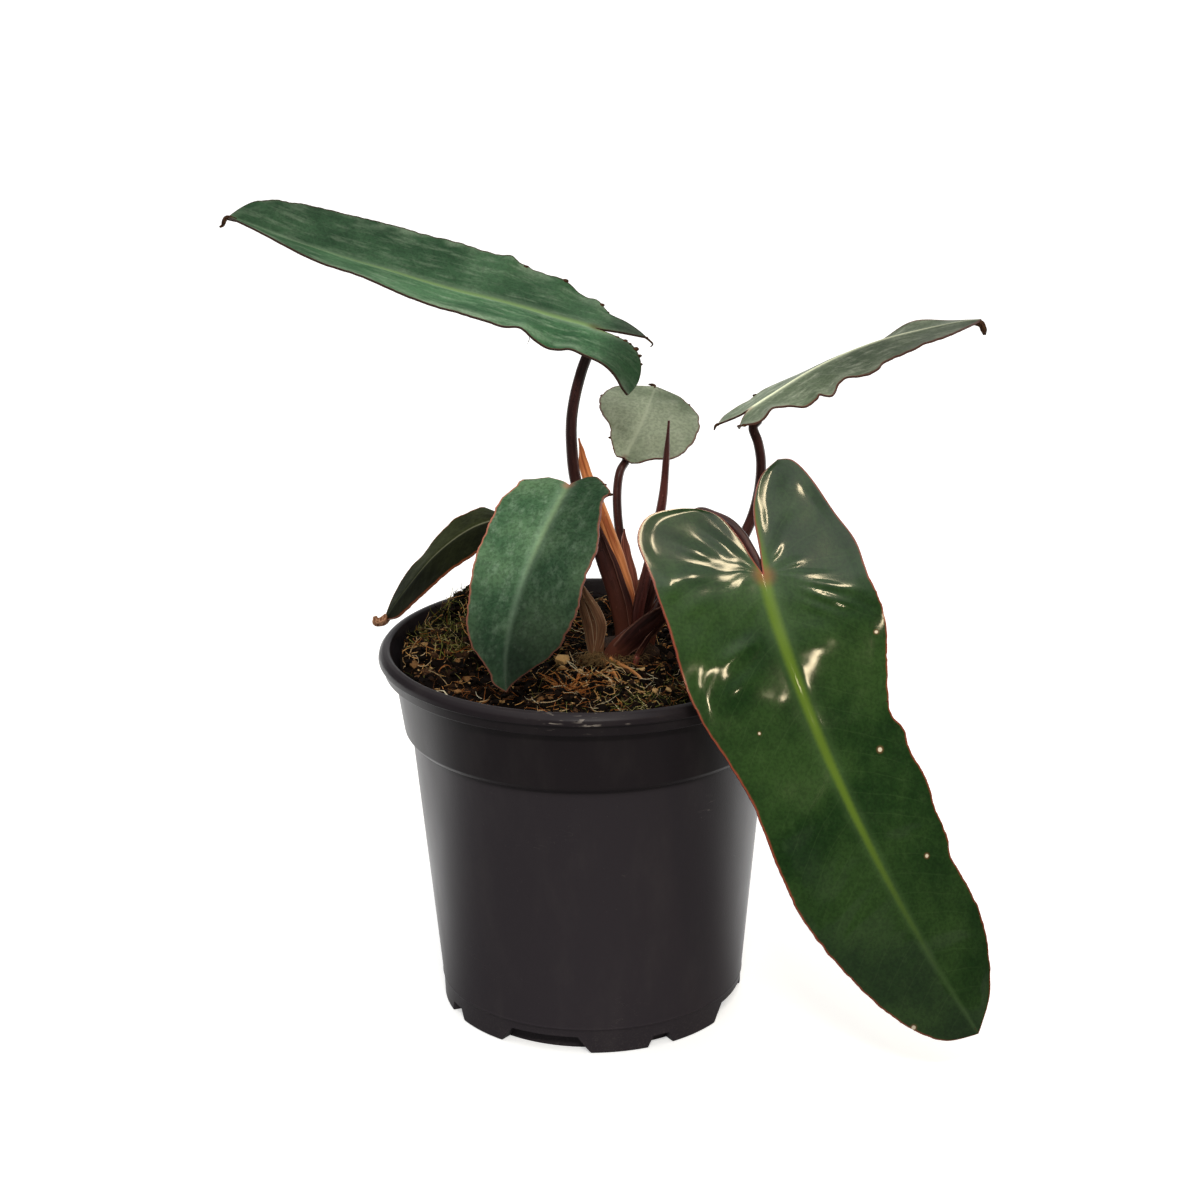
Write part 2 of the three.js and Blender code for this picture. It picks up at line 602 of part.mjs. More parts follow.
function crownGeometry(stalks) {
  const sockets = stalks.map((stalk) => rod(stalk, GAP));
  for (const sheath of Object.values(SHEATHS)) sockets.push(sheathGeometry(sheath, GAP));
  let crown = toSolid(crownBody(0));
  for (const socket of sockets) crown = crown.subtract(toSolid(socket));
  return toGeometry(crown);
}

add('nursery_pot', potGeometry(), POT_PLASTIC);
add('potting_mix', mixGeometry(), POTTING_MIX);

const stalks = Object.fromEntries(Object.keys(STALKS).map((name) => [name, stalkSpec(name)]));
add('stem_crown', crownGeometry([...Object.values(stalks), SPEAR]), CROWN_FIBRE);
for (const [name, leaf] of Object.entries(LEAVES)) {
  add(`blade_${name}`, bladeGeometry(leaf), leafFinish[name]);
  add(`stalk_${name}`, rod(stalks[name]), name === 'front_left' ? PALE_STALK_SKIN : STALK_SKIN);
}
add('new_leaf_spear', rod(SPEAR), SPEAR_SKIN);
for (const [name, sheath] of Object.entries(SHEATHS)) add(name, sheathGeometry(sheath), DRY_SHEATH);

export default plant;
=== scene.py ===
"""A young Philodendron billietiae in a black nursery pot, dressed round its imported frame.

The frame gives the axes: the origin is the middle of the pot's standing face, +Z is up, +X is to the
right of someone who looks at the plant's front, and +Y is away from them. Sizes here are in
millimetres, as in the part's source, and each finished mesh is scaled to metres.
"""

import logging
import math
import random
from collections.abc import Callable, Iterable, Sequence
from dataclasses import dataclass, field, replace
from enum import Enum

import bmesh
import bpy
import numpy as np
from mathutils import Matrix, Vector, noise
from mathutils.kdtree import KDTree


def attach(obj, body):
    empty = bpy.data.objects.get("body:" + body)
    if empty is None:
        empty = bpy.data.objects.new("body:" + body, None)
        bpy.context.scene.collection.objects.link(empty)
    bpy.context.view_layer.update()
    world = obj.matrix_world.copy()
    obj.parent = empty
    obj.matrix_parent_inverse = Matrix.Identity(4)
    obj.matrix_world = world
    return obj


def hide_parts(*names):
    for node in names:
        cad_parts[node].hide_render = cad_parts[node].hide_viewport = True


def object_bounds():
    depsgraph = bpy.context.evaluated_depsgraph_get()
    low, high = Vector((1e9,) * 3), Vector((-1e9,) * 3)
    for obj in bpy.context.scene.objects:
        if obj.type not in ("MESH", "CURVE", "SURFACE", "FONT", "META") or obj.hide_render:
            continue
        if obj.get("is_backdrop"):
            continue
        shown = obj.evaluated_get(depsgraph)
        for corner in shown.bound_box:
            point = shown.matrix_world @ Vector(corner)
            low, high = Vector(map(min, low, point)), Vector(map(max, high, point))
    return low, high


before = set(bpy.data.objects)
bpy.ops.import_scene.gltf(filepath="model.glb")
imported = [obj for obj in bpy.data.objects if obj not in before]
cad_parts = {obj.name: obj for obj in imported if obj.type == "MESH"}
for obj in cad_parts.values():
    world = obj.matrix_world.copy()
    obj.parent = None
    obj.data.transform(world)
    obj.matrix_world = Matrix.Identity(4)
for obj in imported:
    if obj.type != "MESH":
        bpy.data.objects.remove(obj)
CAD_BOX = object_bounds()

MM = 0.001
BODY = "root"
LOG = logging.getLogger("philodendron")
SCRATCH = bpy.data.meshes.new("scratch")  # small pieces pass through it into large ones
BEZIER_POINTS = 1200
STRETCH_POINTS = 80  # between two points of a smooth curve
DIRECTION_REACH = 2e-3  # the share of a curve over which its direction is read
ROD_LOOKS = (0.0, -1.0, 0.2)  # the way that the broad side of a stalk looks
VEIN_SLANT = 0.45  # how far a side vein runs ahead for each millimetre out
VEIN_BEND = 0.010  # how it bends on towards the tip
VEIN_FAN = 0.38  # the angle between the veins that fan out behind the notch

Colour = tuple[float, float, float]
Point = tuple[float, float, float]
Flat = tuple[float, float]
Socket = bpy.types.NodeSocket
Bm = bmesh.types.BMesh
Rows = np.ndarray
Material = bpy.types.Material


class LeafSide(Enum):
    """A half of a blade, seen from above by someone who looks from its notch to its tip."""

    RIGHT = 1
    LEFT = -1


class Skin(Enum):
    """The material slots of a blade."""

    UPPER = 0
    LOWER = 1
    RIM = 2
    DRY = 3


# Curves


class ArcCurve:
    """A curve in space that is read by the share of its length."""

    def __init__(self, dense: Rows) -> None:
        """Keeps the closely spaced points of the curve.

        Args:
            dense: The points, one row each, in millimetres.
        """
        steps = np.linalg.norm(np.diff(dense, axis=0), axis=1)
        self.reach = np.concatenate(([0.0], np.cumsum(steps)))
        self.length = float(self.reach[-1])
        self.dense = dense

    @classmethod
    def bezier(cls, corners: Sequence[Point]) -> "ArcCurve":
        """Makes a cubic Bezier curve.

        Args:
            corners: Its four points.

        Returns:
            The curve.
        """
        a, b, c, d = (np.array(p, float) for p in corners)
        t = np.linspace(0.0, 1.0, BEZIER_POINTS)[:, None]
        return cls((1 - t) ** 3 * a + 3 * (1 - t) ** 2 * t * b + 3 * (1 - t) * t**2 * c + t**3 * d)

    @classmethod
    def through(cls, points: Sequence[Point]) -> "ArcCurve":
        """Makes a smooth curve through a list of points, with no loops at close points.

        Args:
            points: The points that the curve passes.

        Returns:
            The centripetal Catmull-Rom curve of the points.
        """
        p = np.array(points, float)
        p = np.vstack((2 * p[0] - p[1], p, 2 * p[-1] - p[-2]))
        t = np.linspace(0.0, 1.0, STRETCH_POINTS, endpoint=False)[:, None]
        rows = []
        for a, b, c, d in zip(p, p[1:], p[2:], p[3:]):
            gap = [max(float(np.sum((v - u) ** 2)) ** 0.25, 1e-2) for u, v in ((a, b), (b, c), (c, d))]
            start = ((b - a) / gap[0] - (c - a) / (gap[0] + gap[1]) + (c - b) / gap[1]) * gap[1]
            end = ((c - b) / gap[1] - (d - b) / (gap[1] + gap[2]) + (d - c) / gap[2]) * gap[1]
            rows.append(hermite(b, c, start, end, t))
        return cls(np.vstack((*rows, p[-2])))

    def at(self, share: Rows) -> Rows:
        """Gives the points at shares of the length."""
        where = np.clip(share, 0.0, 1.0) * self.length
        return np.stack([np.interp(where, self.reach, self.dense[:, k]) for k in range(3)], axis=-1)

    def ahead(self, share: Rows) -> Rows:
        """Gives the direction of the curve at shares of the length."""
        near = DIRECTION_REACH
        return unit(self.at(np.clip(share, 0, 1 - near) + near) - self.at(np.clip(share, near, 1) - near))


def hermite(b: Rows, c: Rows, start: Rows, end: Rows, t: Rows) -> Rows:
    """Gives points of the cubic from b to c that leaves and arrives with given slopes."""
    return (2 * b - 2 * c + start + end) * t**3 + (-3 * b + 3 * c - 2 * start - end) * t**2 + start * t + b


def unit(rows: Rows) -> Rows:
    """Scales each row to a length of one."""
    return rows / np.linalg.norm(rows, axis=-1, keepdims=True)


def eased(values: Sequence[float], share: Rows) -> Rows:
    """Reads a short list of evenly spaced values with soft steps between them.

    Args:
        values: The values, from the start to the end.
        share: Shares of the way along them.

    Returns:
        One value for each share.
    """
    table = np.array(values, float)
    place = np.minimum(np.clip(share, 0, 1), 0.9999) * (len(table) - 1)
    low = np.floor(place).astype(int)
    ease = place - low
    ease = ease * ease * (3 - 2 * ease)
    return table[low] * (1 - ease) + table[low + 1] * ease


def flat_spline(points: Sequence[Flat], share: Rows) -> Rows:
    """Gives points of the smooth flat curve through a list of points.

    Args:
        points: The points that the curve passes.
        share: Shares of the list, from 0 at its start to 1 at its end.

    Returns:
        One row for each share.
    """
    p = np.array(points, float)
    last = len(p) - 1
    place = np.clip(share, 0, 1) * last
    low = np.minimum(np.floor(place).astype(int), last - 1)
    a, b, c, d = p[np.maximum(low - 1, 0)], p[low], p[low + 1], p[np.minimum(low + 2, last)]
    return hermite(b, c, (c - a) / 2, (d - b) / 2, (place - low)[:, None])


def fractal(point: Sequence[float], scale: float, octaves: int = 3) -> float:
    """Gives smooth noise from about -1 to 1 at a point."""
    return noise.fractal(Vector(point) * scale, 1.0, 2.0, octaves)


# Meshes


def mapped_grid(
    columns: int, rows: int, place: Callable[[Rows, Rows], Rows],
) -> Bm:
    """Makes a grid and moves its vertices onto a surface.

    Args:
        columns: The faces across.
        rows: The faces along.
        place: Gives the points for shares across and shares along.

    Returns:
        The grid as a new bmesh.
    """
    bm = bmesh.new()
    bmesh.ops.create_grid(bm, x_segments=columns, y_segments=rows, size=0.5)
    shares = np.array([(v.co.x + 0.5, v.co.y + 0.5) for v in bm.verts])
    for vertex, spot in zip(bm.verts, place(shares[:, 0], shares[:, 1])):
        vertex.co = spot
    return bm


def mark_rod(bm: Bm, columns: int, rows: int, length: float) -> None:
    """Gives a grid the attribute rod: along in mm, share across, and share along.

    Args:
        bm: The grid, with its vertices still in rows.
        columns: The faces across.
        rows: The faces along.
        length: The length of its middle line.
    """
    layer = bm.verts.layers.float_vector.new("rod")
    for i, vertex in enumerate(bm.verts):
        row, column = divmod(i, columns + 1)
        vertex[layer] = (row / rows * length, column / columns, row / rows)


def close_up(bm: Bm, reach: float) -> None:
    """Closes a grid that is wrapped into a tube.

    Args:
        bm: The tube, open along its seam and at its ends.
        reach: The distance within which vertices are joined.
    """
    bmesh.ops.remove_doubles(bm, verts=bm.verts, dist=reach)
    bmesh.ops.holes_fill(bm, edges=bm.edges, sides=0)
    bmesh.ops.recalc_face_normals(bm, faces=bm.faces)


def rod_mesh(
    path: Sequence[Point],
    radii: Sequence[float],
    depths: Sequence[float] | None = None,
    sides: int = 16,
    steps: int = 60,
    flutes: float = 0.0,
) -> Bm:
    """Makes a tapered rod of oval section along a path, closed at both ends.

    Args:
        path: The points of its middle line.
        radii: Its half widths, evenly spaced from base to top.
        depths: Its half depths, or None where it is round.
        sides: The faces round it.
        steps: The faces along it.
        flutes: How deep its lengthwise grooves are, in millimetres.

    Returns:
        The rod as a new bmesh, with the attribute rod.
    """
    curve = ArcCurve.through(path)

    def place(turn: Rows, share: Rows) -> Rows:
        """Wraps the grid round the path.

        Args:
            turn: The share of the way round.
            share: The share of the way along.

        Returns:
            The places of the grid's points.
        """
        ahead = curve.ahead(share)
        across = unit(np.cross(ahead, np.array(ROD_LOOKS)))
        front = np.cross(across, ahead)
        angle = math.tau * turn
        groove = flutes * (np.sin(7 * angle + 3 * share) + 0.6 * np.sin(11 * angle - 5 * share))
        wide = np.sin(angle) * (eased(radii, share) + groove)
        deep = np.cos(angle) * (eased(depths or radii, share) + groove)
        return curve.at(share) + across * wide[:, None] + front * deep[:, None]

    bm = mapped_grid(sides, steps, place)
    mark_rod(bm, sides, steps, curve.length)
    close_up(bm, 1e-4)
    return bm


def append(bm: Bm, small: Bm, slot: int = 0) -> None:
    """Moves all of a small bmesh into a large one.

    Args:
        bm: The bmesh that grows.
        small: The bmesh that is added, and then freed.
        slot: The material slot of the added faces.
    """
    for face in small.faces:
        face.material_index = slot
    small.to_mesh(SCRATCH)
    small.free()
    bm.from_mesh(SCRATCH)


def linked(name: str, data: bpy.types.ID) -> bpy.types.Object:
    """Puts a new object in the scene.

    Args:
        name: The name of the object.
        data: Its mesh, lamp or camera.

    Returns:
        The object.
    """
    item = bpy.data.objects.new(name, data)
    bpy.context.scene.collection.objects.link(item)
    return item


def mesh_object(name: str, bm: Bm) -> bpy.types.Object:
    """Puts a bmesh in the scene as an object.

    Args:
        name: The name of the object.
        bm: The bmesh, which is kept.

    Returns:
        The object.
    """
    mesh = bpy.data.meshes.new(name)
    bm.to_mesh(mesh)
    return linked(name, mesh)


def finished(
    name: str,
    bm: Bm,
    materials: Sequence[Material],
    slot: str,
    stands_for: Sequence[str] = (),
    sharp: float | None = None,
) -> None:
    """Turns a bmesh in millimetres into a piece of the part.

    Args:
        name: The name of the piece.
        bm: The bmesh, which is freed.
        materials: The materials, in the order of their slots.
        slot: The record's material slot, which is not used.
        stands_for: The CAD nodes that the piece replaces.
        sharp: The angle in degrees from which an edge is shaded sharp, or None for smooth all over.
    """
    bmesh.ops.scale(bm, vec=(MM, MM, MM), verts=bm.verts)
    piece = mesh_object(name, bm)
    bm.free()
    mesh = piece.data
    for material in materials:
        mesh.materials.append(material)
    mesh.polygons.foreach_set("use_smooth", [True] * len(mesh.polygons))
    if sharp is not None:
        mesh.set_sharp_from_angle(angle=math.radians(sharp))
    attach(piece, BODY)
    if stands_for:
        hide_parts(*stands_for)
    LOG.info("%s: %d vertices, %d faces", name, len(mesh.vertices), len(mesh.polygons))


# Materials


def toned(colour: Colour, by: float) -> Colour:
    """Makes a plain colour brighter or darker."""
    return tuple(k * by for k in colour)


class NodeSheet:
    """The nodes of a material or of the room's light, with short calls for the kinds in use."""

    def __init__(self, tree: bpy.types.NodeTree) -> None:
        """Keeps the tree that the nodes go into."""
        self.tree = tree

    def add(self, kind: str, **settings: object) -> bpy.types.Node:
        """Adds a node.

        Args:
            kind: The type of the node.
            settings: Its options.

        Returns:
            The node.
        """
        node = self.tree.nodes.new(kind)
        for key, value in settings.items():
            setattr(node, key, value)
        return node

    def feed(self, socket: Socket, value: object) -> None:
        """Links an output to an input, or sets a plain value on it.

        Args:
            socket: The input.
            value: An output, a number, or a colour or vector.
        """
        if isinstance(value, bpy.types.NodeSocket):
            self.tree.links.new(value, socket)
        elif socket.type == "RGBA":
            socket.default_value = (*value, 1.0)
        else:
            socket.default_value = value

    def made(
        self, kind: str, inputs: dict[int | str, object], output: int | str = 0, **settings: object,
    ) -> Socket:
        """Adds a node, feeds its inputs and gives one of its outputs.

        Args:
            kind: The type of the node.
            inputs: What goes into its inputs, by their names or numbers.
            output: The name or number of the output.
            settings: The node's options.

        Returns:
            The output.
        """
        node = self.add(kind, **settings)
        for key, value in inputs.items():
            self.feed(node.inputs[key], value)
        return node.outputs[output]

    def math(self, operation: str, *values: object, clamp: bool = False) -> Socket:
        """Adds a sum on one to three values."""
        return self.made("ShaderNodeMath", dict(enumerate(values)), operation=operation, use_clamp=clamp)

    def times(self, first: object, second: object) -> Socket:
        """Multiplies two values."""
        return self.math("MULTIPLY", first, second)

    def line(self, value: object, slope: object, start: object) -> Socket:
        """Multiplies a value by a slope and adds a start."""
        return self.math("MULTIPLY_ADD", value, slope, start)

    def rest(self, value: Socket) -> Socket:
        """Gives what a value leaves of one."""
        return self.math("SUBTRACT", 1.0, value)

    def smooth(self, value: Socket, low: object, high: object) -> Socket:
        """Turns a value into 0 below low and 1 above high, with a soft step between them."""
        inputs = {"Value": value, "From Min": low, "From Max": high}
        return self.made("ShaderNodeMapRange", inputs, interpolation_type="SMOOTHSTEP")

    def near(self, value: Socket, width: object) -> Socket:
        """Turns a distance into 1 at zero and 0 from a width on."""
        return self.rest(self.smooth(value, 0.0, width))

    def mix(self, share: object, first: object, second: object) -> Socket:
        """Mixes two colours by a share."""
        return self.made("ShaderNodeMix", {0: share, 6: first, 7: second}, 2, data_type="RGBA")

    def ramp(self, value: Socket, *stops: tuple[float, Colour]) -> Socket:
        """Turns a value into a colour.

        Args:
            value: The value, from 0 to 1.
            stops: Places from 0 to 1 and the colours there.

        Returns:
            The colour.
        """
        node = self.add("ShaderNodeValToRGB")
        elements = node.color_ramp.elements
        while len(elements) < len(stops):
            elements.new(0.5)
        for element, (place, colour) in zip(elements, stops):
            element.position = place
            element.color = (*colour, 1.0)
        self.feed(node.inputs[0], value)
        return node.outputs[0]

    def place(self, stretch: Point = (1.0, 1.0, 1.0)) -> Socket:
        """Gives the object coordinates in millimetres, stretched by a factor for each axis."""
        where = self.made("ShaderNodeTexCoord", {}, "Object")
        return self.made("ShaderNodeMapping", {"Vector": where, "Scale": [k / MM for k in stretch]})

    def attribute(self, name: str) -> Socket:
        """Gives an attribute of the mesh as a vector."""
        return self.made("ShaderNodeAttribute", {}, "Vector", attribute_name=name)

    def parts(self, vector: Socket) -> tuple[Socket, Socket, Socket]:
        """Splits a vector into its three numbers."""
        outputs = self.made("ShaderNodeSeparateXYZ", {0: vector}).node.outputs
        return outputs[0], outputs[1], outputs[2]

    def vector(self, x: object, y: object, z: object = 0.0) -> Socket:
        """Joins three numbers into a vector."""
        return self.made("ShaderNodeCombineXYZ", {0: x, 1: y, 2: z})

    def distance(self, vector: Socket, point: Point) -> Socket:
        """Gives how far a vector is from a point."""
        return self.made("ShaderNodeVectorMath", {0: vector, 1: point}, "Value", operation="DISTANCE")

    def scaled(self, colour: Socket, by: float) -> Socket:
        """Makes a colour brighter or darker."""
        return self.made("ShaderNodeVectorMath", {0: colour, "Scale": by}, operation="SCALE")

    def cloud(
        self, where: Socket, size: float, detail: float = 2.0, rough: float = 0.5, warp: float = 0.0,
    ) -> Socket:
        """Gives noise from 0 to 1 at a place, with lumps of a size in the place's units."""
        inputs = {"Scale": 1.0 / size, "Detail": detail, "Roughness": rough, "Distortion": warp}
        return self.made("ShaderNodeTexNoise", {"Vector": where, **inputs}, "Fac")

    def cells(self, where: Socket, size: float) -> Socket:
        """Gives the distance inside cells of about one size, in the units of where."""
        return self.made("ShaderNodeTexVoronoi", {"Vector": where, "Scale": 1.0 / size}, "Distance")


class MaterialSheet(NodeSheet):
    """The nodes of one material with a principled shader."""

    def __init__(self, name: str) -> None:
        """Starts the material.

        Args:
            name: The name of the material.
        """
        self.material = bpy.data.materials.new(name)
        self.material.use_nodes = True
        super().__init__(self.material.node_tree)
        self.tree.nodes.clear()
        self.shader = self.add("ShaderNodeBsdfPrincipled")
        output = self.add("ShaderNodeOutputMaterial")
        self.feed(output.inputs["Surface"], self.shader.outputs[0])

    def set(self, **inputs: object) -> None:
        """Feeds inputs of the shader, named with underscores for spaces."""
        for key, value in inputs.items():
            self.feed(self.shader.inputs[key.replace("_", " ")], value)

    def ground(self, share: Socket, first: Colour, second: Colour) -> None:
        """Starts the colour with a mixture of two."""
        self.colour = self.mix(share, first, second)

    def paint(self, share: object, over: Socket | Colour) -> None:
        """Lays a colour over the colour so far."""
        self.colour = self.mix(share, self.colour, over)

    def glossed(self, rough: object, shine: float = 0.5) -> Material:
        """Gives the shader its colour and gloss, and hands over the material."""
        self.set(Base_Color=self.colour, Roughness=rough, Specular_IOR_Level=shine)
        return self.material

    def bump(self, height: Socket, depth: float, strength: float) -> None:
        """Raises the surface by a height from 0 to 1 times a depth in millimetres."""
        inputs = {"Strength": strength, "Distance": depth * MM, "Height": height}
        self.set(Normal=self.made("ShaderNodeBump", inputs))


@dataclass(frozen=True)
class LeafFinish:
    """The look of a blade's skins.

    Attributes:
        deep: The colour of the darkest green.
        green: The main colour.
        pale: The colour of the lighter clouds, of the painted sheen along the margin and of the tissue beside
            the midrib.
        midrib: The colour of the midrib.
        margin: The colour of the thin edge line.
        under: The colour of the lower side.
        rough: The roughness of the skin.
        midrib_width: The half width of the midrib at its base and its tip, in millimetres.
        vein_step: The distance between side veins, in millimetres.
        vein_show: How much the side veins show.
        margin_width: The width of the edge line, in millimetres.
        coat: The share of clear gloss over the skin.
        dust: The share of the pale bloom in the clouds.
        spots: Small pale holes with a brown rim: along, across and radius.
        hole: The colour of the holes.
        hole_rim: The colour of their rims.
        midrib_show: How much the midrib stands out.
        midrib_end: The share of the blade where the midrib has faded.
        shine: The strength of the skin's own gloss.
        shade: Painted light and shade along the blade: how bright it is painted at its base and at its tip,
            and the shares between which that changes.
        run: How little the pale bloom is drawn out along the blade.
        halves: Painted light and shade: how bright the right and the left half are painted.
        lobes: Painted shade: how bright the lobes behind the notch are painted.
        mottle: How much the fine dark mottling shows.
        painted_edge_sheen: A painted sheen: how much paler the skin is painted along the margin.
    """

    deep: Colour
    green: Colour
    pale: Colour
    midrib: Colour
    margin: Colour
    under: Colour
    rough: float = 0.4
    midrib_width: Flat = (1.5, 0.3)
    vein_step: float = 6.5
    vein_show: float = 0.10
    margin_width: float = 0.7
    coat: float = 0.0
    dust: float = 0.3
    spots: tuple[Point, ...] = ()
    hole: Colour = (0.85, 0.74, 0.55)
    hole_rim: Colour = (0.30, 0.13, 0.06)
    midrib_show: float = 1.0
    midrib_end: float = 0.9
    shine: float = 0.2
    shade: tuple[float, ...] = (1.0, 1.0, 0.35, 0.85)
    run: float = 0.7
    halves: Flat = (1.0, 1.0)
    lobes: float = 1.0
    mottle: float = 0.4
    painted_edge_sheen: float = 0.0


class LeafSkin(MaterialSheet):
    """The material of one skin of a blade."""

    def __init__(self, name: str, look: LeafFinish, length: float) -> None:
        """Starts the material and reads the mesh's attribute leaf.

        Args:
            name: The name of the material.
            look: The look of the leaf.
            length: The length of the blade.
        """
        super().__init__(name)
        self.look, self.length = look, length
        self.leaf = self.attribute("leaf")
        self.along, self.across, self.edge = self.parts(self.leaf)
        self.out = self.math("ABSOLUTE", self.across)
        self.flat = self.vector(self.along, self.across)
        self.veins = self.side_veins()

    def clouds(self, size: float, low: float, high: float) -> Socket:
        """Gives soft patches of a size in millimetres."""
        return self.smooth(self.cloud(self.place(), size, detail=3.0), low, high)

    def side_veins(self) -> Socket:
        """Draws the side veins, which leave the midrib and bend towards the tip.

        Returns:
            1 on a vein and 0 between veins.
        """
        along, out, step = self.along, self.out, self.look.vein_step
        wander = self.times(self.cloud(self.flat, 9.0), 2.2)
        first = self.line(out, VEIN_SLANT, self.times(self.math("POWER", out, 2.0), VEIN_BEND))
        ahead = self.math("SUBTRACT", along, first)
        fan = self.math("SUBTRACT", self.math("ARCTAN2", out, first), self.math("ARCTAN2", out, along))
        back = self.math("LESS_THAN", ahead, 0.0)
        phase = self.line(back, self.times(fan, step / VEIN_FAN), self.math("MAXIMUM", ahead, 0.0))
        return self.near(self.math("PINGPONG", self.math("ADD", phase, wander), step / 2), 0.45)

    def tissue(self, grain: Socket) -> None:
        """Paints the green tissue with its clouds, bloom, a painted sheen along the margin, mottling and
        veins.

        Args:
            grain: The fine grain of the skin.
        """
        look = self.look
        drawn_out = self.vector(self.times(self.along, look.run), self.across)
        streaks = self.smooth(self.cloud(drawn_out, 3.4, detail=4.0, rough=0.65), 0.45, 0.8)
        # A painted sheen in patches near the margin.
        edge_sheen_mask = self.times(self.near(self.edge, 8.0), self.smooth(self.cloud(self.leaf, 14.0), 0.42, 0.6))
        fade = self.times(self.smooth(self.edge, 1.0, 9.0), look.vein_show)
        self.ground(self.clouds(26.0, 0.35, 0.65), look.deep, look.green)
        self.paint(self.times(streaks, look.dust), look.pale)
        self.paint(self.times(edge_sheen_mask, look.painted_edge_sheen), look.pale)
        self.paint(self.times(self.smooth(grain, 0.42, 0.62), look.mottle), self.scaled(self.colour, 0.45))
        self.paint(self.times(self.veins, fade), look.pale)

    def midrib(self, grain: Socket) -> None:
        """Paints the midrib, the paler tissue beside it and the knot where the stalk ends.

        Args:
            grain: The fine grain of the skin.
        """
        look = self.look
        base, tip = look.midrib_width
        taper = self.line(self.along, (tip - base) / self.length, base)
        self.paint(self.times(self.near(self.out, self.times(taper, 3.2)), 0.35), look.pale)
        ragged = self.line(grain, 0.35, self.out)
        rib = self.rest(self.smooth(ragged, self.times(taper, 0.3), self.line(taper, 1.25, 0.4)))
        end = self.length * look.midrib_end
        fainter = self.times(self.rest(self.smooth(self.along, end * 0.5, end)), look.midrib_show)
        self.paint(self.times(rib, fainter), look.midrib)
        knot = self.near(self.distance(self.flat, (0.5, 0.0, 0.0)), base * 2.2)
        self.paint(self.times(knot, 0.6), look.margin)

    def margin(self) -> None:
        """Paints the thin edge line and the small holes."""
        look = self.look
        uneven = self.math("ADD", self.cloud(self.leaf, 5.0), 0.5)
        self.paint(self.near(self.edge, self.times(uneven, look.margin_width * 1.3)), look.margin)
        for along, across, radius in look.spots:
            away = self.distance(self.flat, (along, across, 0.0))
            self.paint(self.near(away, radius * 1.9), look.hole_rim)
            self.paint(self.rest(self.smooth(away, radius * 0.6, radius)), look.hole)

    def toned_between(self, share: Socket, first: float, last: float) -> None:
        """Makes the colour as bright as one number says at 0 and another at 1."""
        if (first, last) != (1.0, 1.0):
            self.colour = self.mix(share, self.scaled(self.colour, first), self.scaled(self.colour, last))

    def painted_shade(self) -> None:
        """Paints light and shade: makes the halves, the lobes and the tip brighter or darker."""
        right, left = self.look.halves
        first, last, start, end = self.look.shade
        self.toned_between(self.smooth(self.across, -1.5, 1.5), left, right)
        self.toned_between(self.smooth(self.along, -12.0, 3.0), self.look.lobes, 1.0)
        self.toned_between(self.smooth(self.along, self.length * start, self.length * end), first, last)

    def upper(self) -> Material:
        """Makes the upper skin.

        Returns:
            The material.
        """
        grain = self.cloud(self.place(), 1.1)
        self.tissue(grain)
        self.midrib(grain)
        self.margin()
        self.painted_shade()
        self.set(Coat_Weight=self.look.coat, Coat_Roughness=0.1)
        self.bump(self.line(self.veins, -0.3, self.times(grain, 0.5)), 0.08, 0.5)
        rough = self.line(self.cloud(self.place(), 7.0), 0.16, self.look.rough - 0.08)
        return self.glossed(rough, self.look.shine)

    def lower(self) -> Material:
        """Makes the lower skin, dull and paler, with a stout midrib.

        Returns:
            The material.
        """
        look = self.look
        stout = tuple(0.5 * k + 0.5 * m for k, m in zip(look.midrib, look.margin))
        self.ground(self.clouds(18.0, 0.3, 0.7), look.under, toned(look.under, 1.35))
        self.paint(self.times(self.veins, 0.4), look.midrib)
        self.paint(self.near(self.out, 2.2), stout)
        self.paint(self.near(self.edge, look.margin_width * 1.4), look.margin)
        self.bump(self.math("ADD", self.veins, self.cloud(self.place(), 0.9)), 0.1, 0.5)
        return self.glossed(0.55)


def rim_skin(name: str, margin: Colour) -> Material:
    """Makes the material of a blade's cut edge.

    Args:
        name: The name of the material.
        margin: The colour of the edge.

    Returns:
        The material.
    """
    sheet = MaterialSheet(name)
    sheet.ground(sheet.cloud(sheet.place(), 3.0), margin, toned(margin, 0.6))
    return sheet.glossed(0.5)


@dataclass(frozen=True)
class StalkFinish:
    """The look of a stalk, a spear or another round stem.

    Attributes:
        dark: The colour of the darker streaks.
        light: The colour of the lighter streaks.
        base: The colour towards the base.
        rough: The roughness of the skin.
        edge: The colour along the edges of a strip.
    """

    dark: Colour
    light: Colour
    base: Colour
    rough: float = 0.38
    edge: Colour = (0.30, 0.15, 0.11)

    def material(self, name: str, edged: bool = False) -> Material:
        """Makes the material, with lengthwise streaks and small pale flecks.

        Args:
            name: The name of the piece.
            edged: Whether it is a strip, whose edges are lighter.

        Returns:
            The material.
        """
        sheet = MaterialSheet(f"{name}_strip" if edged else f"{name}_skin")
        along, angle, share = sheet.parts(sheet.attribute("rod"))
        streak = sheet.cloud(sheet.vector(sheet.times(along, 0.08), sheet.times(angle, 7.0)), 1.4)
        flecks = sheet.near(sheet.cells(sheet.place((1.0, 1.0, 0.4)), 2.2), 0.14)
        fleck = tuple(min(k * 4 + 0.05, 1) for k in self.light)
        sheet.ground(sheet.smooth(streak, 0.35, 0.7), self.dark, self.light)
        sheet.paint(sheet.times(sheet.near(share, 0.35), 0.8), self.base)
        sheet.paint(sheet.times(flecks, 0.35), fleck)
        if edged:
            middle = sheet.math("ABSOLUTE", sheet.math("SUBTRACT", angle, 0.5))
            sheet.paint(sheet.times(sheet.smooth(middle, 0.40, 0.49), 0.75), self.edge)
        sheet.bump(streak, 0.08, 0.5)
        return sheet.glossed(self.rough, 0.3)


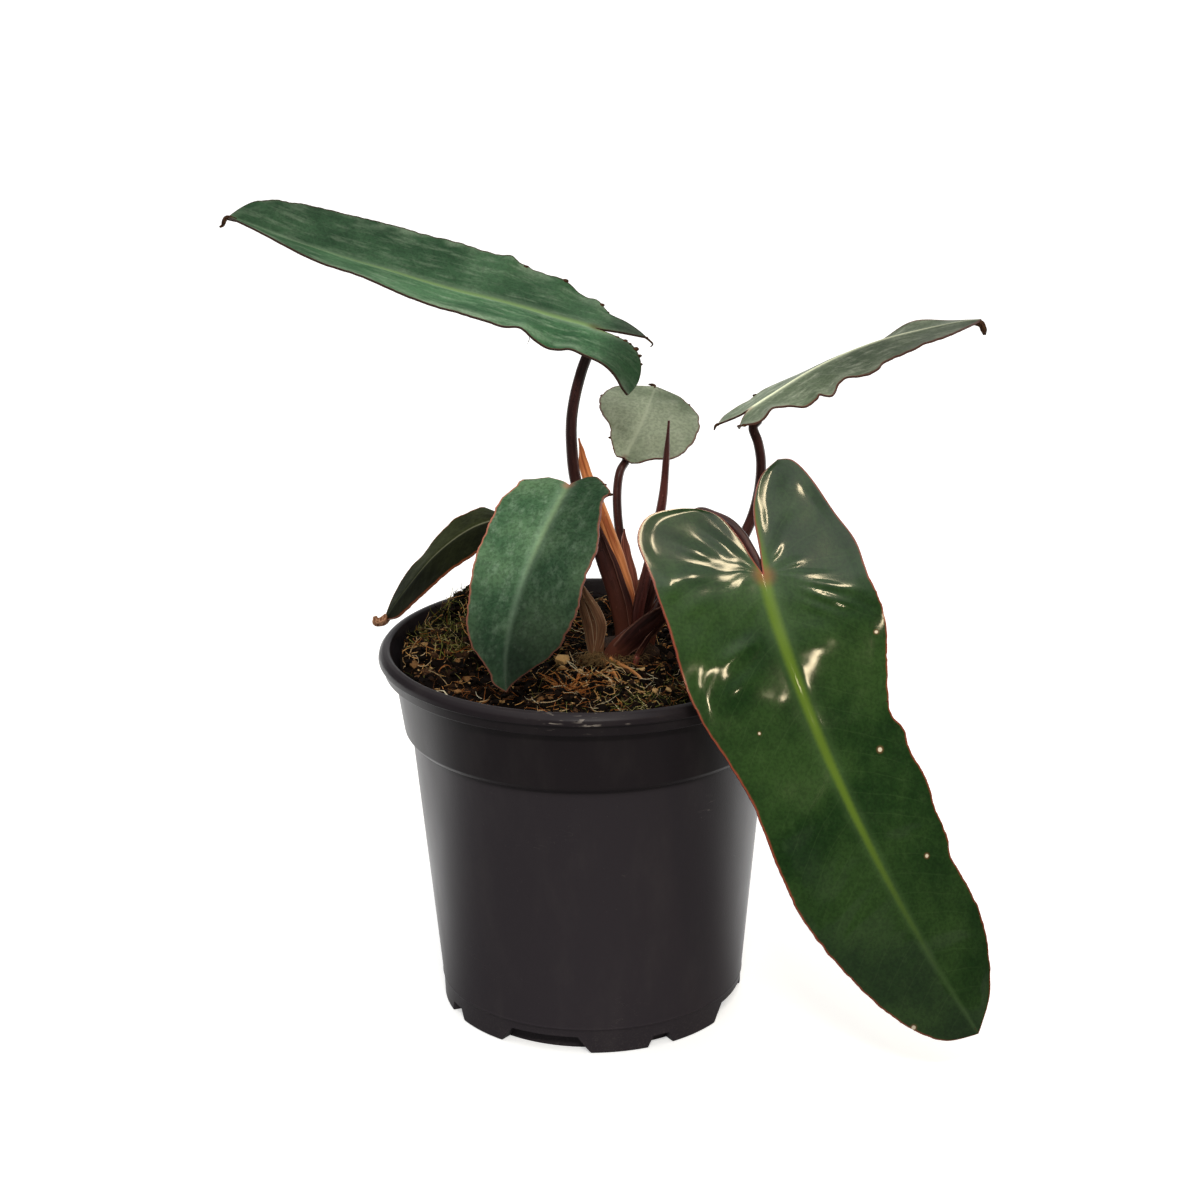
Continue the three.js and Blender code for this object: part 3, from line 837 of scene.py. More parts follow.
@dataclass(frozen=True)
class DryFinish:
    """The look of dry papery or woody tissue.

    Attributes:
        dark: The colour in the hollows.
        light: The colour on the ridges.
        grain: The size of its fibres, in millimetres.
    """

    dark: Colour
    light: Colour
    grain: float = 0.5

    def material(self, name: str) -> Material:
        """Makes the material, with fibres that run up the tissue.

        Args:
            name: The name of the material.

        Returns:
            The material.
        """
        sheet = MaterialSheet(name)
        fibre = sheet.cloud(sheet.place((1.0, 1.0, 0.12)), self.grain, detail=3.0)
        patch = sheet.smooth(sheet.cloud(sheet.place(), 5.0), 0.5, 0.75)
        sheet.ground(sheet.smooth(fibre, 0.3, 0.7), self.dark, self.light)
        sheet.paint(sheet.times(patch, 0.5), self.dark)
        sheet.bump(fibre, 0.35, 0.8)
        return sheet.glossed(0.75, 0.1)


@dataclass(frozen=True)
class TintFinish:
    """The look of many small bits, each with its own tint from the attribute tint.

    Attributes:
        stops: The colours along the tints, from 0 to 1.
        rough: The roughness of the bits.
        grain: The size of their grain, in millimetres.
        hollow: The colour in the hollows of the grain.
    """

    stops: tuple[tuple[float, Colour], ...]
    rough: float = 0.85
    grain: float = 0.6
    hollow: Colour = (0.01, 0.006, 0.004)

    def material(self, name: str) -> Material:
        """Makes the material, with the tints broken up by a fine grain.

        Args:
            name: The name of the material.

        Returns:
            The material.
        """
        sheet = MaterialSheet(name)
        tint = sheet.parts(sheet.attribute("tint"))[0]
        grain = sheet.cloud(sheet.place(), self.grain)
        shifted = sheet.math("ADD", tint, sheet.line(grain, 0.24, -0.12), clamp=True)
        sheet.ground(sheet.times(grain, 0.36), sheet.ramp(shifted, *self.stops), self.hollow)
        sheet.bump(grain, 0.2, 0.7)
        return sheet.glossed(self.rough, 0.08)


@dataclass(frozen=True)
class PotFinish:
    """The look of moulded black plastic that has been handled and stood in a greenhouse.

    Attributes:
        body: The colour of the plastic of the wall.
        collar: The darker colour above the ledge, painted shade that stands in for the weaker sheen on the
            collar and the lip.
        collar_heights: The heights between which the one turns into the other.
        dust: The colour of the dust and scuffs.
        rough: The roughness of the plastic.
        shine: The strength of its shine.
        scuffs: The middle and the reach of patches of fine scuffs.
        splash: The height up to which dust is splashed.
    """

    body: Colour = (0.048, 0.040, 0.047)
    collar: Colour = (0.022, 0.017, 0.020)
    collar_heights: Flat = (101.0, 105.0)
    dust: Colour = (0.26, 0.23, 0.20)
    rough: float = 0.37
    shine: float = 0.17
    scuffs: tuple[tuple[Point, float], ...] = (
        ((-12.5, -73.5, 133.0), 5.0), ((0.5, -74.5, 133.0), 7.0), ((13.0, -73.6, 133.5), 2.5),
        ((-5.0, -66.5, 97.5), 4.0), ((4.0, -66.5, 94.0), 3.0), ((-35.0, -56.0, 99.5), 3.0),
    )
    splash: float = 14.0

    def scratches(self, sheet: MaterialSheet) -> Socket:
        """Draws long thin scratches that are broken off here and there.

        Args:
            sheet: The material's nodes.

        Returns:
            1 on a scratch and 0 beside it.
        """
        thin = sheet.cloud(sheet.place((0.5, 0.5, 2.2)), 9.0, detail=1.0, warp=1.5)
        scratch = sheet.near(sheet.math("ABSOLUTE", sheet.math("SUBTRACT", thin, 0.5)), 0.0022)
        return sheet.times(scratch, sheet.smooth(sheet.cloud(sheet.place(), 21.0), 0.6, 0.7))

    def material(self) -> Material:
        """Makes the material, with a fine moulded grain, drag marks, dust and thin scratches.

        Returns:
            The material.
        """
        sheet = MaterialSheet("black_plastic")
        place = sheet.place()
        height = sheet.parts(place)[2]
        grain = sheet.cloud(place, 0.7, detail=3.0)
        smears = sheet.cloud(sheet.place((1.0, 1.0, 0.35)), 14.0, detail=4.0, rough=0.6)
        specks = sheet.near(sheet.cells(place, 3.4), 0.055)
        worn = sheet.smooth(sheet.cloud(sheet.place((0.6, 0.6, 2.6)), 2.2), 0.58, 0.64)
        splashed = sheet.times(sheet.near(height, self.splash), sheet.smooth(grain, 0.5, 0.7))
        # The collar and the lip are painted darker than the wall: painted shade.
        sheet.ground(sheet.smooth(height, *self.collar_heights), self.body, self.collar)
        sheet.paint(sheet.times(sheet.smooth(smears, 0.45, 0.8), 0.05), self.dust)
        sheet.paint(sheet.times(specks, 0.30), self.dust)
        sheet.paint(sheet.times(self.scratches(sheet), 0.5), self.dust)
        for middle, reach in self.scuffs:
            patch = sheet.times(sheet.near(sheet.distance(place, middle), reach), worn)
            sheet.paint(patch, toned(self.dust, 1.1))
        sheet.paint(sheet.times(splashed, 0.12), self.dust)
        sheet.bump(sheet.math("ADD", sheet.times(grain, 0.5), sheet.times(smears, 0.8)), 0.10, 0.5)
        return sheet.glossed(sheet.line(smears, 0.18, self.rough - 0.09), self.shine)


@dataclass(frozen=True)
class FloorFinish:
    """The look of the pale paper that the pot stands on, lit so that it is seen as white.

    Attributes:
        paper: The colour of the paper.
        unseen: The colour that it has for the plant, so that it throws little light of the lamps.
        glow: How much brighter the paper is seen.
        front: How much light the paper throws on the plant from the front.
        back: How much light the paper throws on the plant from the sides and the back.
        depths: How far back the one turns into the other, in millimetres.
    """

    paper: Colour = (0.90, 0.90, 0.89)
    unseen: Colour = (0.2, 0.2, 0.2)
    glow: float = 0.60
    front: float = 0.10
    back: float = 1.6
    depths: Flat = (-40.0, 70.0)

    def material(self) -> Material:
        """Makes the material, an even pale paper.

        Returns:
            The material.
        """
        sheet = MaterialSheet("pale_paper")
        place = sheet.place()
        seen = sheet.made("ShaderNodeLightPath", {}, "Is Camera Ray")
        paper = sheet.mix(sheet.cloud(place, 2.0), self.paper, toned(self.paper, 1.02))
        sheet.ground(seen, self.unseen, paper)
        behind = sheet.smooth(sheet.parts(place)[1], *self.depths)
        thrown = sheet.times(sheet.line(behind, self.back - self.front, self.front), sheet.rest(seen))
        sheet.set(Emission_Color=self.paper, Emission_Strength=sheet.line(seen, self.glow, thrown))
        return sheet.glossed(0.9, 0.1)


# The pot


@dataclass(frozen=True)
class Notch:
    """A drain notch of the foot ring.

    Attributes:
        middle: Its middle from the front, to the right, in degrees.
        top: Its width above, in degrees.
        bottom: Its width below, in degrees.
        height: Its upper end, in millimetres.
    """

    middle: float
    top: float
    bottom: float
    height: float


@dataclass
class NurseryPot:
    """The moulded pot: lip, bead, collar, ledge, wall, and a foot ring cut by drain notches."""

    lip_radius: float = 75.0
    mouth_radius: float = 70.8
    height: float = 135.5
    lip_edge_height: float = 131.6
    bead_height: float = 127.4
    collar_top_radius: float = 69.3
    collar_bottom_radius: float = 66.4
    ledge_height: float = 104.1
    wall_top_radius: float = 63.8
    ridge_height: float = 9.5
    foot_radius: float = 54.6
    plate_radius: float = 49.6
    foot_inner_radius: float = 46.4
    wall: float = 1.5
    floor: float = 2.2
    turn_steps: int = 192
    edge_round: float = 0.35
    edge_angle: float = 14.0
    wide_notch: Notch = Notch(-18.5, 26.0, 38.0, 6.5)
    narrow_notch: Notch = Notch(26.5, 6.5, 12.0, 4.5)
    hole_floor: float = 2.4
    below: float = -1.0
    notch_faces: int = 24
    notches_round: int = 4
    finish: PotFinish = field(default_factory=PotFinish)

    def profile(self) -> list[Flat]:
        """Gives the section of the pot.

        Returns:
            Radius and height of its corners, from the axis below to the axis above.
        """
        foot = self.foot_radius + 0.6
        return [
            (0, 0), (self.foot_radius - 0.4, 0), (self.foot_radius, 0.5),
            (self.foot_radius + 0.3, self.ridge_height - 0.5), (foot + 0.2, self.ridge_height),
            (foot, self.ridge_height + 0.6), (self.wall_top_radius, self.ledge_height - 0.1),
            (self.collar_bottom_radius - 1.1, self.ledge_height),
            (self.collar_bottom_radius, self.ledge_height + 1.6),
            (self.collar_top_radius, self.bead_height - 1.4),
            (self.collar_top_radius + 0.7, self.bead_height - 0.9),
            (self.lip_radius - 2, self.bead_height), (self.lip_radius - 1.5, self.lip_edge_height - 0.6),
            (self.lip_radius, self.lip_edge_height), (self.lip_radius - 0.4, self.height - 2),
            (self.lip_radius - 1.6, self.height - 0.5), (self.mouth_radius + 1, self.height),
            (self.mouth_radius, self.height - 0.5), (self.mouth_radius - 0.7, self.height - 3),
            (self.collar_top_radius - self.wall, self.bead_height),
            (self.collar_bottom_radius - self.wall, self.ledge_height + 1.2),
            (self.wall_top_radius - self.wall, self.ledge_height - 1.2),
            (foot - self.wall, self.ridge_height + 1), (self.foot_inner_radius, self.ridge_height - 1.5),
            (self.foot_inner_radius, self.floor), (0, self.floor),
        ]

    def turned(self) -> Bm:
        """Spins the section round the axis and rounds its corners.

        Returns:
            The pot without its notches, as a new bmesh.
        """
        bm = spun(self.profile(), self.turn_steps)
        least = math.radians(self.edge_angle)
        corners = [e for e in bm.edges if len(e.link_faces) == 2 and e.calc_face_angle(0.0) > least]
        bmesh.ops.bevel(
            bm, geom=corners, offset=self.edge_round, offset_type="OFFSET", affect="EDGES",
            segments=2, profile=0.5, material=-1, clamp_overlap=True,
        )
        return bm

    def wedges(self, notch: Notch, inner: float, base: float) -> Bm:
        """Makes the wedges that cut one kind of notch, all round the foot.

        Args:
            notch: The first notch.
            inner: The radius of its inner face.
            base: Its lower end.

        Returns:
            The wedges as a new bmesh.
        """
        bm = bmesh.new()
        for k in range(self.notches_round):
            wedge = bmesh.new()
            bmesh.ops.create_cube(wedge, size=1.0)
            lengthwise = [e for e in wedge.edges if abs(e.verts[0].co.x - e.verts[1].co.x) > 0.5]
            bmesh.ops.subdivide_edges(wedge, edges=lengthwise, cuts=self.notch_faces - 1, use_grid_fill=True)
            middle = notch.middle + 360 / self.notches_round * k
            for v in wedge.verts:
                upper = v.co.z > 0
                angle = math.radians(middle + v.co.x * (notch.top if upper else notch.bottom))
                radius = self.foot_radius + 6 if v.co.y < 0 else inner
                place = (radius * math.sin(angle), -radius * math.cos(angle))
                v.co = (*place, notch.height if upper else base)
            bmesh.ops.recalc_face_normals(wedge, faces=wedge.faces)
            append(bm, wedge)
        return bm

    def build(self) -> None:
        """Builds the pot and cuts its drain notches and the slots above them."""
        body = self.turned()
        cut_away(body, self.wedges(self.wide_notch, self.plate_radius, self.below))
        cut_away(body, self.wedges(self.narrow_notch, self.plate_radius, self.below))
        hole = replace(self.narrow_notch, bottom=self.narrow_notch.top)
        cut_away(body, self.wedges(hole, self.foot_inner_radius - 2, self.hole_floor))
        for face in body.faces:
            face.material_index = 0
        skin = [self.finish.material()]
        finished("nursery_pot_shell", body, skin, "pot_plastic", ["nursery_pot"], sharp=38)


def spun(profile: Sequence[Flat], steps: int) -> Bm:
    """Spins a section of radius and height round the Z axis.

    Args:
        profile: The section, which starts and ends on the axis.
        steps: The faces round.

    Returns:
        The closed shape as a new bmesh.
    """
    bm = bmesh.new()
    line = [bm.verts.new((radius, 0.0, height)) for radius, height in profile]
    edges = [bm.edges.new(pair) for pair in zip(line, line[1:])]
    bmesh.ops.spin(
        bm, geom=[*line, *edges], cent=(0, 0, 0), axis=(0, 0, 1), dvec=(0, 0, 0),
        angle=math.tau, steps=steps, use_merge=True, use_duplicate=False,
    )
    bmesh.ops.remove_doubles(bm, verts=bm.verts, dist=1e-4)
    bmesh.ops.recalc_face_normals(bm, faces=bm.faces)
    return bm


def cut_away(body: Bm, cutters: Bm) -> None:
    """Takes the space of the cutters out of a body.

    Args:
        body: The bmesh that is cut.
        cutters: The closed shapes that cut it, which are freed.
    """
    whole, tool = mesh_object("body", body), mesh_object("cutters", cutters)
    cutters.free()
    cut = whole.modifiers.new("cut", "BOOLEAN")
    cut.operation, cut.solver, cut.object = "DIFFERENCE", "EXACT", tool
    graph = bpy.context.evaluated_depsgraph_get()
    result = bpy.data.meshes.new_from_object(whole.evaluated_get(graph))
    body.clear()
    body.from_mesh(result)
    bpy.data.objects.remove(whole)
    bpy.data.objects.remove(tool)


# The potting mix


@dataclass(frozen=True)
class Mound:
    """A low rise of the mix."""

    x: float
    y: float
    rise: float
    reach: float


@dataclass(frozen=True)
class Patch:
    """A place where a share of some small things lies, thickest in its middle."""

    x: float
    y: float
    wide: float
    deep: float
    share: float


def spot_in(rng: random.Random, patches: Sequence[Patch]) -> Flat:
    """Draws a spot in one of several patches.

    Args:
        rng: The source of chance.
        patches: The patches, whose shares add up to one.

    Returns:
        The spot.
    """
    draw = rng.random()
    for patch in patches:
        draw -= patch.share
        if draw < 0:
            break
    return rng.gauss(patch.x, patch.wide), rng.gauss(patch.y, patch.deep)


@dataclass(frozen=True)
class FibreKind:
    """The ranges of the length, the half thickness and the rise of a kind of fibre."""

    length: Flat
    thick: Flat
    rise: Flat

    def draw(self, rng: random.Random) -> Point:
        """Draws a length, a half thickness and a rise."""
        return rng.uniform(*self.length), rng.uniform(*self.thick), rng.uniform(*self.rise)


LOOSE_COIR = FibreKind(length=(4, 13), thick=(0.12, 0.28), rise=(0, 3.0))
TANGLED_COIR = FibreKind(length=(5, 12), thick=(0.14, 0.34), rise=(0.5, 3.5))
MOSS_THREAD = FibreKind(length=(2.5, 8.0), thick=(0.12, 0.24), rise=(0.5, 4.5))
MIX_FINISH = TintFinish(
    stops=(
        (0.0, (0.001, 0.0007, 0.0005)), (0.5, (0.007, 0.004, 0.003)), (0.72, (0.055, 0.026, 0.014)),
        (0.88, (0.36, 0.18, 0.070)), (1.0, (0.95, 0.60, 0.26)),
    ),
)
STRAND_FINISH = TintFinish(
    stops=(
        (0.0, (0.004, 0.0025, 0.002)), (0.42, (0.045, 0.020, 0.010)), (0.66, (0.56, 0.19, 0.052)),
        (0.82, (0.84, 0.47, 0.16)), (1.0, (0.98, 0.88, 0.62)),
    ),
    rough=0.7,
)
MOSS_FINISH = TintFinish(
    stops=(
        (0.0, (0.006, 0.007, 0.002)), (0.4, (0.06, 0.075, 0.014)), (0.75, (0.33, 0.34, 0.07)),
        (1.0, (0.85, 0.72, 0.32)),
    ),
    rough=0.7,
)


def tint(bm: Bm, value: float) -> None:
    """Gives all vertices of a bit one tint.

    Args:
        bm: The bit.
        value: The tint from 0 to 1.
    """
    layer = bm.verts.layers.float.new("tint")
    for v in bm.verts:
        v[layer] = value


@dataclass
class PottingMix:
    """The block of mix that fills the pot, with the bits that lie on it."""

    level: float = 126.5
    lumps: float = 0.9
    rises: Flat = (0.9, 0.45)
    mounds: tuple[Mound, ...] = (
        Mound(-44, 36, 7.5, 26), Mound(6, 62, 3.5, 22), Mound(10, 0, 1.6, 22), Mound(-62, 6, 5.5, 16),
        Mound(-43, 46, 8.0, 13),
    )
    edge: float = 67.35
    depth: float = 20.0
    taper: float = 0.115
    rings: int = 80
    turn_steps: int = 220
    crumbs: int = 2600
    strands: int = 1700
    tufts: int = 1500
    chips: int = 190
    flakes: int = 260
    reach: float = 0.985
    chip_reach: float = 0.93
    flake_reach: float = 0.95
    moss_reach: float = 0.98
    # The brightest bits as x, y, size and tint
    pale_bits: tuple[tuple[float, ...], ...] = (
        (-9.5, -2.4, 4.4, 1.0), (-3.5, -9.5, 2.2, 0.97), (-9.5, -8, 1.7, 0.93), (23, -29.5, 1.5, 0.97),
        (28, -28.5, 1.5, 0.99), (19, -9, 1.3, 1.0), (23, -11.5, 1.1, 1.0), (26, -10, 1.0, 1.0),
        (22, -14, 0.9, 0.98), (-59, 1.8, 2.0, 0.93), (-56, -8, 1.4, 0.97), (-30, -38, 1.5, 0.95),
        (-47, -20, 1.3, 0.94), (-6, -40, 1.2, 0.97),
    )
    # Coir as x, y, spread, number of strands, lowest and highest tint
    tangles: tuple[tuple[float, ...], ...] = (
        (-6, -24, 4, 60, 0.58, 0.74), (-2, -12, 7, 30, 0.6, 1.0), (12, -26, 9, 25, 0.7, 1.0),
        (-55, 2, 7, 40, 0.35, 0.95), (-50, 18, 8, 30, 0.4, 0.95), (-34, -34, 9, 25, 0.5, 1.0),
        (30, -22, 9, 16, 0.75, 1.0), (2, 28, 12, 30, 0.5, 1.0),
    )
    beds: tuple[Patch, ...] = (
        Patch(-40, 34, 19, 19, 0.55), Patch(-52, 18, 12, 12, 0.15), Patch(22, -48, 15, 15, 0.2),
        Patch(48, -30, 12, 12, 0.1),
    )
    seed: int = 4
    crown: tuple[float, ...] = (12.0, 5.6, 12.0, 10.0)  # the oval that bits keep clear

    def height(self, x: float, y: float) -> float:
        """Gives how high the mix stands at a place, with its lumps and grain.

        Args:
            x: The place, to the right.
            y: The place, to the back.

        Returns:
            The height.
        """
        wave = math.sin(x * 0.31 + 1.3) * math.cos(y * 0.27 - 0.6)
        wave += 0.7 * math.sin(x * 0.13 - y * 0.36 + 2.1)
        total = self.level + self.lumps * wave
        for m in self.mounds:
            total += m.rise * math.exp(-((x - m.x) ** 2 + (y - m.y) ** 2) / m.reach**2)
        lump, grain = self.rises
        return total + lump * fractal((x, y, 3.0), 0.16) + grain * fractal((x, y, 8.0), 0.7)

    def ground(self) -> None:
        """Builds the block of mix, fine on top and plain where the pot hides it."""
        low = self.level - self.depth
        profile = [(0.0, low), (self.edge - self.depth * self.taper, low)]
        profile += [(self.edge * (1 - ring / self.rings), self.level) for ring in range(self.rings)]
        profile.append((0.0, self.level))
        bm = spun(profile, self.turn_steps)
        layer = bm.verts.layers.float.new("tint")
        for v in bm.verts:
            if v.co.z > self.level - 0.01:
                v.co.z = self.height(v.co.x, v.co.y)
            v[layer] = 0.25 + 0.2 * fractal(v.co, 0.11)
        finished("mix_ground", bm, [MIX_FINISH.material("dark_mix")], "potting_mix", ["potting_mix"])

    def spot(self, rng: random.Random, reach: float) -> Flat:
        """Draws a place on the mix, off the crown.

        Args:
            rng: The source of chance.
            reach: How far out it may lie, as a share of the radius.

        Returns:
            The place.
        """
        cx, cy, rx, ry = self.crown
        while True:
            angle, radius = rng.uniform(0, math.tau), self.edge * reach * math.sqrt(rng.random())
            x, y = radius * math.cos(angle), radius * math.sin(angle)
            if ((x - cx) / rx) ** 2 + ((y - cy) / ry) ** 2 > 1.0:
                return x, y

    def scattered(self, name: str, bits: Iterable[Bm], finish: TintFinish) -> None:
        """Joins many small bits into one piece that lies on the mix.

        Args:
            name: The name of the piece.
            bits: The bits, each a bmesh that is freed.
            finish: Their look.
        """
        bm = bmesh.new()
        bm.verts.layers.float.new("tint")
        for bit in bits:
            append(bm, bit)
        finished(name, bm, [finish.material(name)], "potting_mix", sharp=50)

    def crumb(self, rng: random.Random, size: float, flat: float, shade: float, spot: Flat) -> Bm:
        """Makes one angular crumb or chip, sunk a little into the mix.

        Args:
            rng: The source of chance.
            size: Its half length.
            flat: Its half height as a share of the half length.
            shade: Its place in the tints.
            spot: Where it lies.

        Returns:
            The crumb as a new bmesh.
        """
        bm = bmesh.new()
        bmesh.ops.create_icosphere(bm, subdivisions=1, radius=1.0)
        wide = rng.uniform(0.5, 0.95)
        turn = Matrix.Rotation(rng.uniform(0, 6.28), 4, "Z") @ Matrix.Rotation(rng.uniform(-0.5, 0.5), 4, "X")
        turn = turn @ Matrix.Rotation(rng.uniform(-0.4, 0.4), 4, "Y")
        place = Vector((*spot, self.height(*spot) + size * flat * rng.uniform(0.0, 0.6)))
        for v in bm.verts:
            v.co *= rng.uniform(0.7, 1.2)
            v.co = turn @ Vector((v.co.x * size, v.co.y * size * wide, v.co.z * size * flat)) + place
        tint(bm, shade)
        return bm

    def thread(self, rng: random.Random, spot: Flat, sizes: Point, shade: float) -> Bm:
        """Makes one bent fibre that lies on the mix or stands a little out of it.

        Args:
            rng: The source of chance.
            spot: Where it starts.
            sizes: Its length, its half thickness, and how far its free end stands up.
            shade: Its place in the tints.

        Returns:
            The fibre as a new bmesh.
        """
        length, thick, rise = sizes
        sides, steps = 3, 5
        heading, curl = rng.uniform(0, math.tau), rng.uniform(-0.5, 0.5)
        x, y = spot
        path = []
        for k in range(steps + 1):
            share = k / steps
            lift = rise * share * share + 0.5 * math.sin(math.pi * share) * rng.uniform(0.2, 1.0)
            if x * x + y * y > (self.edge * self.reach) ** 2:
                shrink = self.edge * self.reach / math.hypot(x, y)
                x, y = x * shrink, y * shrink
            path.append(Vector((x, y, self.height(x, y) + lift)))
            heading += curl + rng.uniform(-0.25, 0.25)
            x += math.cos(heading) * length / steps
            y += math.sin(heading) * length / steps

        def place(turn: Rows, share: Rows) -> Rows:
            """Wraps the grid round the fibre's path.

            Args:
                turn: The share of the way round.
                share: The share of the way along.

            Returns:
                The places of the grid's points.
            """
            spots = np.array([path[i] for i in np.rint(share * steps).astype(int)])
            radius = thick * (1 - 0.6 * share)
            angle = math.tau * turn
            side = np.array([-math.sin(heading), math.cos(heading), 0.0])
            over = np.array([0, 0, 1.0]) * (np.sin(angle) * radius)[:, None]
            return spots + side * (np.cos(angle) * radius)[:, None] + over

        bm = mapped_grid(sides, steps, place)
        tint(bm, shade)
        close_up(bm, 1e-5)
        return bm

    def crumb_bits(self, rng: random.Random) -> Iterable[Bm]:
        """Makes the crumbs, most of them small.

        Args:
            rng: The source of chance.

        Returns:
            The crumbs.
        """
        for _ in range(self.crumbs):
            size, flat = rng.choice((0.6, 0.8, 1.0, 1.4, 2.0)), rng.uniform(0.4, 0.8)
            yield self.crumb(rng, size, flat, rng.uniform(0.0, 0.75), self.spot(rng, self.reach))

    def chip_bits(self, rng: random.Random) -> Iterable[Bm]:
        """Makes the chips of bark, the pale flakes and the few brightest bits.

        Args:
            rng: The source of chance.

        Returns:
            The bits.
        """
        for _ in range(self.chips):
            size, flat = 1.4 + 2.4 * rng.random() ** 3, rng.uniform(0.2, 0.5)
            yield self.crumb(rng, size, flat, rng.uniform(0.4, 0.9), self.spot(rng, self.chip_reach))
        for _ in range(self.flakes):
            size, shade = rng.uniform(0.5, 1.1), rng.uniform(0.86, 1.0)
            yield self.crumb(rng, size, 0.4, shade, self.spot(rng, self.flake_reach))
        for x, y, size, shade in self.pale_bits:
            yield self.crumb(rng, size, 0.6, shade, (x, y))

    def coir_bits(self, rng: random.Random) -> Iterable[Bm]:
        """Makes the strands of coir, loose and in tangles.

        Args:
            rng: The source of chance.

        Returns:
            The strands.
        """
        for _ in range(self.strands):
            spot = self.spot(rng, self.reach)
            yield self.thread(rng, spot, LOOSE_COIR.draw(rng), rng.random() ** 1.9)
        for x, y, spread, count, low, high in self.tangles:
            for _ in range(count):
                spot = (rng.gauss(x, spread), rng.gauss(y, spread * 0.7))
                yield self.thread(rng, spot, TANGLED_COIR.draw(rng), rng.uniform(low, high))

    def moss_bits(self, rng: random.Random) -> Iterable[Bm]:
        """Makes the threads of moss.

        Args:
            rng: The source of chance.

        Returns:
            The threads.
        """
        for _ in range(self.tufts):
            spot = spot_in(rng, self.beds)
            if math.hypot(*spot) <= self.edge * self.moss_reach:
                yield self.thread(rng, spot, MOSS_THREAD.draw(rng), rng.random())

    def build(self) -> None:
        """Builds the mix and all that lies on it."""
        self.ground()
        rng = random.Random(self.seed)
        self.scattered("mix_crumbs", self.crumb_bits(rng), MIX_FINISH)
        self.scattered("bark_chips", self.chip_bits(rng), MIX_FINISH)
        self.scattered("coir_strands", self.coir_bits(rng), STRAND_FINISH)
        self.scattered("moss", self.moss_bits(rng), MOSS_FINISH)


# The leaves


@dataclass(frozen=True)
class Half:
    """One half of a blade, drawn flat as along and across from the notch, in millimetres.

    Attributes:
        fold: How far the half is lifted out of flat, in degrees, evenly spaced from base to tip.
        inner: The lobe's inner edge, from the notch to its tip.
        tip: The lobe's tip.
        outer: The lobe's outer edge, from its tip.
        margin: The margin, from the lobe to the blade's tip.
        ruffles: Waves of the margin as along, lift and reach.
        twist: How far the lobe's tip is turned down, in degrees.
    """

    fold: tuple[float, ...]
    inner: tuple[Flat, ...]
    tip: Flat
    outer: tuple[Flat, ...]
    margin: tuple[Flat, ...]
    ruffles: tuple[Point, ...] = ()
    twist: float = 0.0


